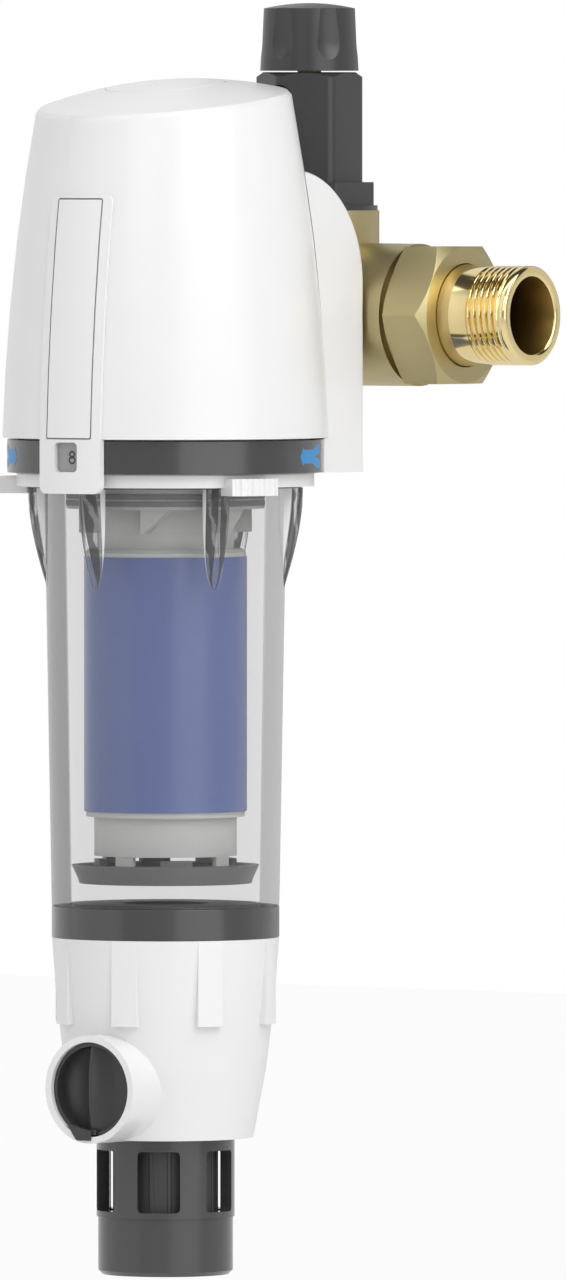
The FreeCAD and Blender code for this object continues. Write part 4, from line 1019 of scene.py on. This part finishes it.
def floor_surface(shade):
    """Pale floor whose glow only the camera sees, so that it doesn't light the filter from below."""
    glow_share = 0.88
    colour = noise(shade, 3.0).mix(rgb(0.90, 0.90, 0.90), rgb(0.92, 0.92, 0.92))
    lit = shade.add("ShaderNodeBsdfPrincipled", {}, {"Base Color": colour, "Roughness": 0.9})
    glow = shade.add("ShaderNodeEmission", {}, {"Color": rgb(1.0, 1.0, 1.0), "Strength": 1.0})
    seen = shade.add("ShaderNodeLightPath", {}, {}, "Is Camera Ray")
    return (seen * glow_share).blend(lit, glow)


floor_drop = 0.30         # the filter hangs on its pipe, clear of the floor
bpy.ops.mesh.primitive_plane_add(size=14, location=(centre.x, centre.y, lo.z - floor_drop))
floor = bpy.context.object
floor.name = "floor"
floor.data.materials.append(material("floor_pale", floor_surface))


def soft_box(name, azimuth, elevation, distance, width, height, watts):
    """Rectangular light that faces the filter from a direction given as the view's angles."""
    turn = math.radians(azimuth)
    rise = math.radians(elevation)
    back = Vector((math.sin(turn) * math.cos(rise), -math.cos(turn) * math.cos(rise), math.sin(rise)))
    data = bpy.data.lights.new(name, "AREA")
    data.shape = "RECTANGLE"
    data.size = width
    data.size_y = height
    data.energy = watts
    made = linked(name, data)
    made.location = centre + back * distance
    made.rotation_euler = back.to_track_quat("Z", "Y").to_euler()
    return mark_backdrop(made)


soft_box("key_light", 75.0, 40.0, distance=1.6, width=1.0, height=1.2, watts=7.0)
soft_box("front_light", 15.0, 30.0, distance=1.8, width=0.7, height=1.0, watts=3.0)

view_turn = math.radians(35.6)


def studio_air(shade):
    """Light room of upright panels, with a bright strip and a dark gap overhead for the metal."""
    room_level = 0.43
    right_level = 1.36
    left_level = 0.66
    far_level = 0.25
    strip_level = 1.7
    gap_share = 0.92
    top_level = 2.0
    east, north, up = shade.add("ShaderNodeTexCoord", {}, {}, 0).parts()
    ahead = east * math.sin(view_turn) - north * math.cos(view_turn)
    aside = east * math.cos(view_turn) + north * math.sin(view_turn)
    around = shade.maths("ARCTAN2", aside, ahead)
    over = shade.maths("ARCTAN2", up, ahead)
    right_panel = around.between(0.14, 0.22) * around.between(1.00, 1.12, 1.0, 0.0)
    left_panel = around.between(-0.82, -0.72, 1.0, 0.0)
    left_panel = left_panel * (1.0 - around.between(-1.95, -1.80, 1.0, 0.0) * 0.35)
    strip = over.between(1.14, 1.20) * over.between(1.50, 1.55, 1.0, 0.0)
    gap = over.between(1.52, 1.60) * over.between(2.05, 2.20, 1.0, 0.0)
    far_panel = around.between(1.6, 1.8) * around.between(2.5, 2.7, 1.0, 0.0)
    level = room_level + right_panel * right_level + left_panel * left_level + far_panel * far_level
    level = shade.maths("MAXIMUM", level, strip * strip_level)
    level = level * (1.0 - gap * gap_share)
    dark = shade.add("ShaderNodeBackground", {}, {"Color": rgb(1.0, 1.0, 1.0), "Strength": 0.0})
    bright = shade.add("ShaderNodeBackground", {}, {"Color": rgb(1.0, 1.0, 1.0), "Strength": top_level})
    room = (level * (1 / top_level)).blend(dark, bright)
    white = shade.add("ShaderNodeBackground", {}, {"Color": rgb(1.0, 1.0, 1.0), "Strength": 1.0})
    seen = shade.add("ShaderNodeLightPath", {}, {}, "Is Camera Ray")
    through = shade.add("ShaderNodeLightPath", {}, {}, "Is Transmission Ray")
    return shade.maths("MAXIMUM", seen, through).blend(room, white)


world = bpy.data.worlds.new("studio")
bpy.context.scene.world = world
world.use_nodes = True
world.node_tree.nodes.clear()
sky = studio_air(Shade(world.node_tree))
sky.add("ShaderNodeOutputWorld", {}, {"Surface": sky}, None)


# Camera: far off and almost level, from the filter's right front, as the picture shows it. It aims a
# little to the right of the filter's axis, at half its height.

view_rise = math.radians(1.57)
view_distance = 6.17
aim_side = 0.0392
aim_up = 0.2115
right = Vector((math.cos(view_turn), math.sin(view_turn), 0))
back = Vector((math.sin(view_turn) * math.cos(view_rise), -math.cos(view_turn) * math.cos(view_rise),
               math.sin(view_rise)))
camera_data = bpy.data.cameras.new("camera")
camera_data.lens = 520.3
camera_data.clip_end = 60
camera = linked("camera", camera_data)
camera.location = right * aim_side + Vector((0, 0, aim_up)) + back * view_distance
camera.rotation_euler = back.to_track_quat("Z", "Y").to_euler()
bpy.context.scene.camera = camera
bpy.context.scene.view_settings.view_transform = "Standard"
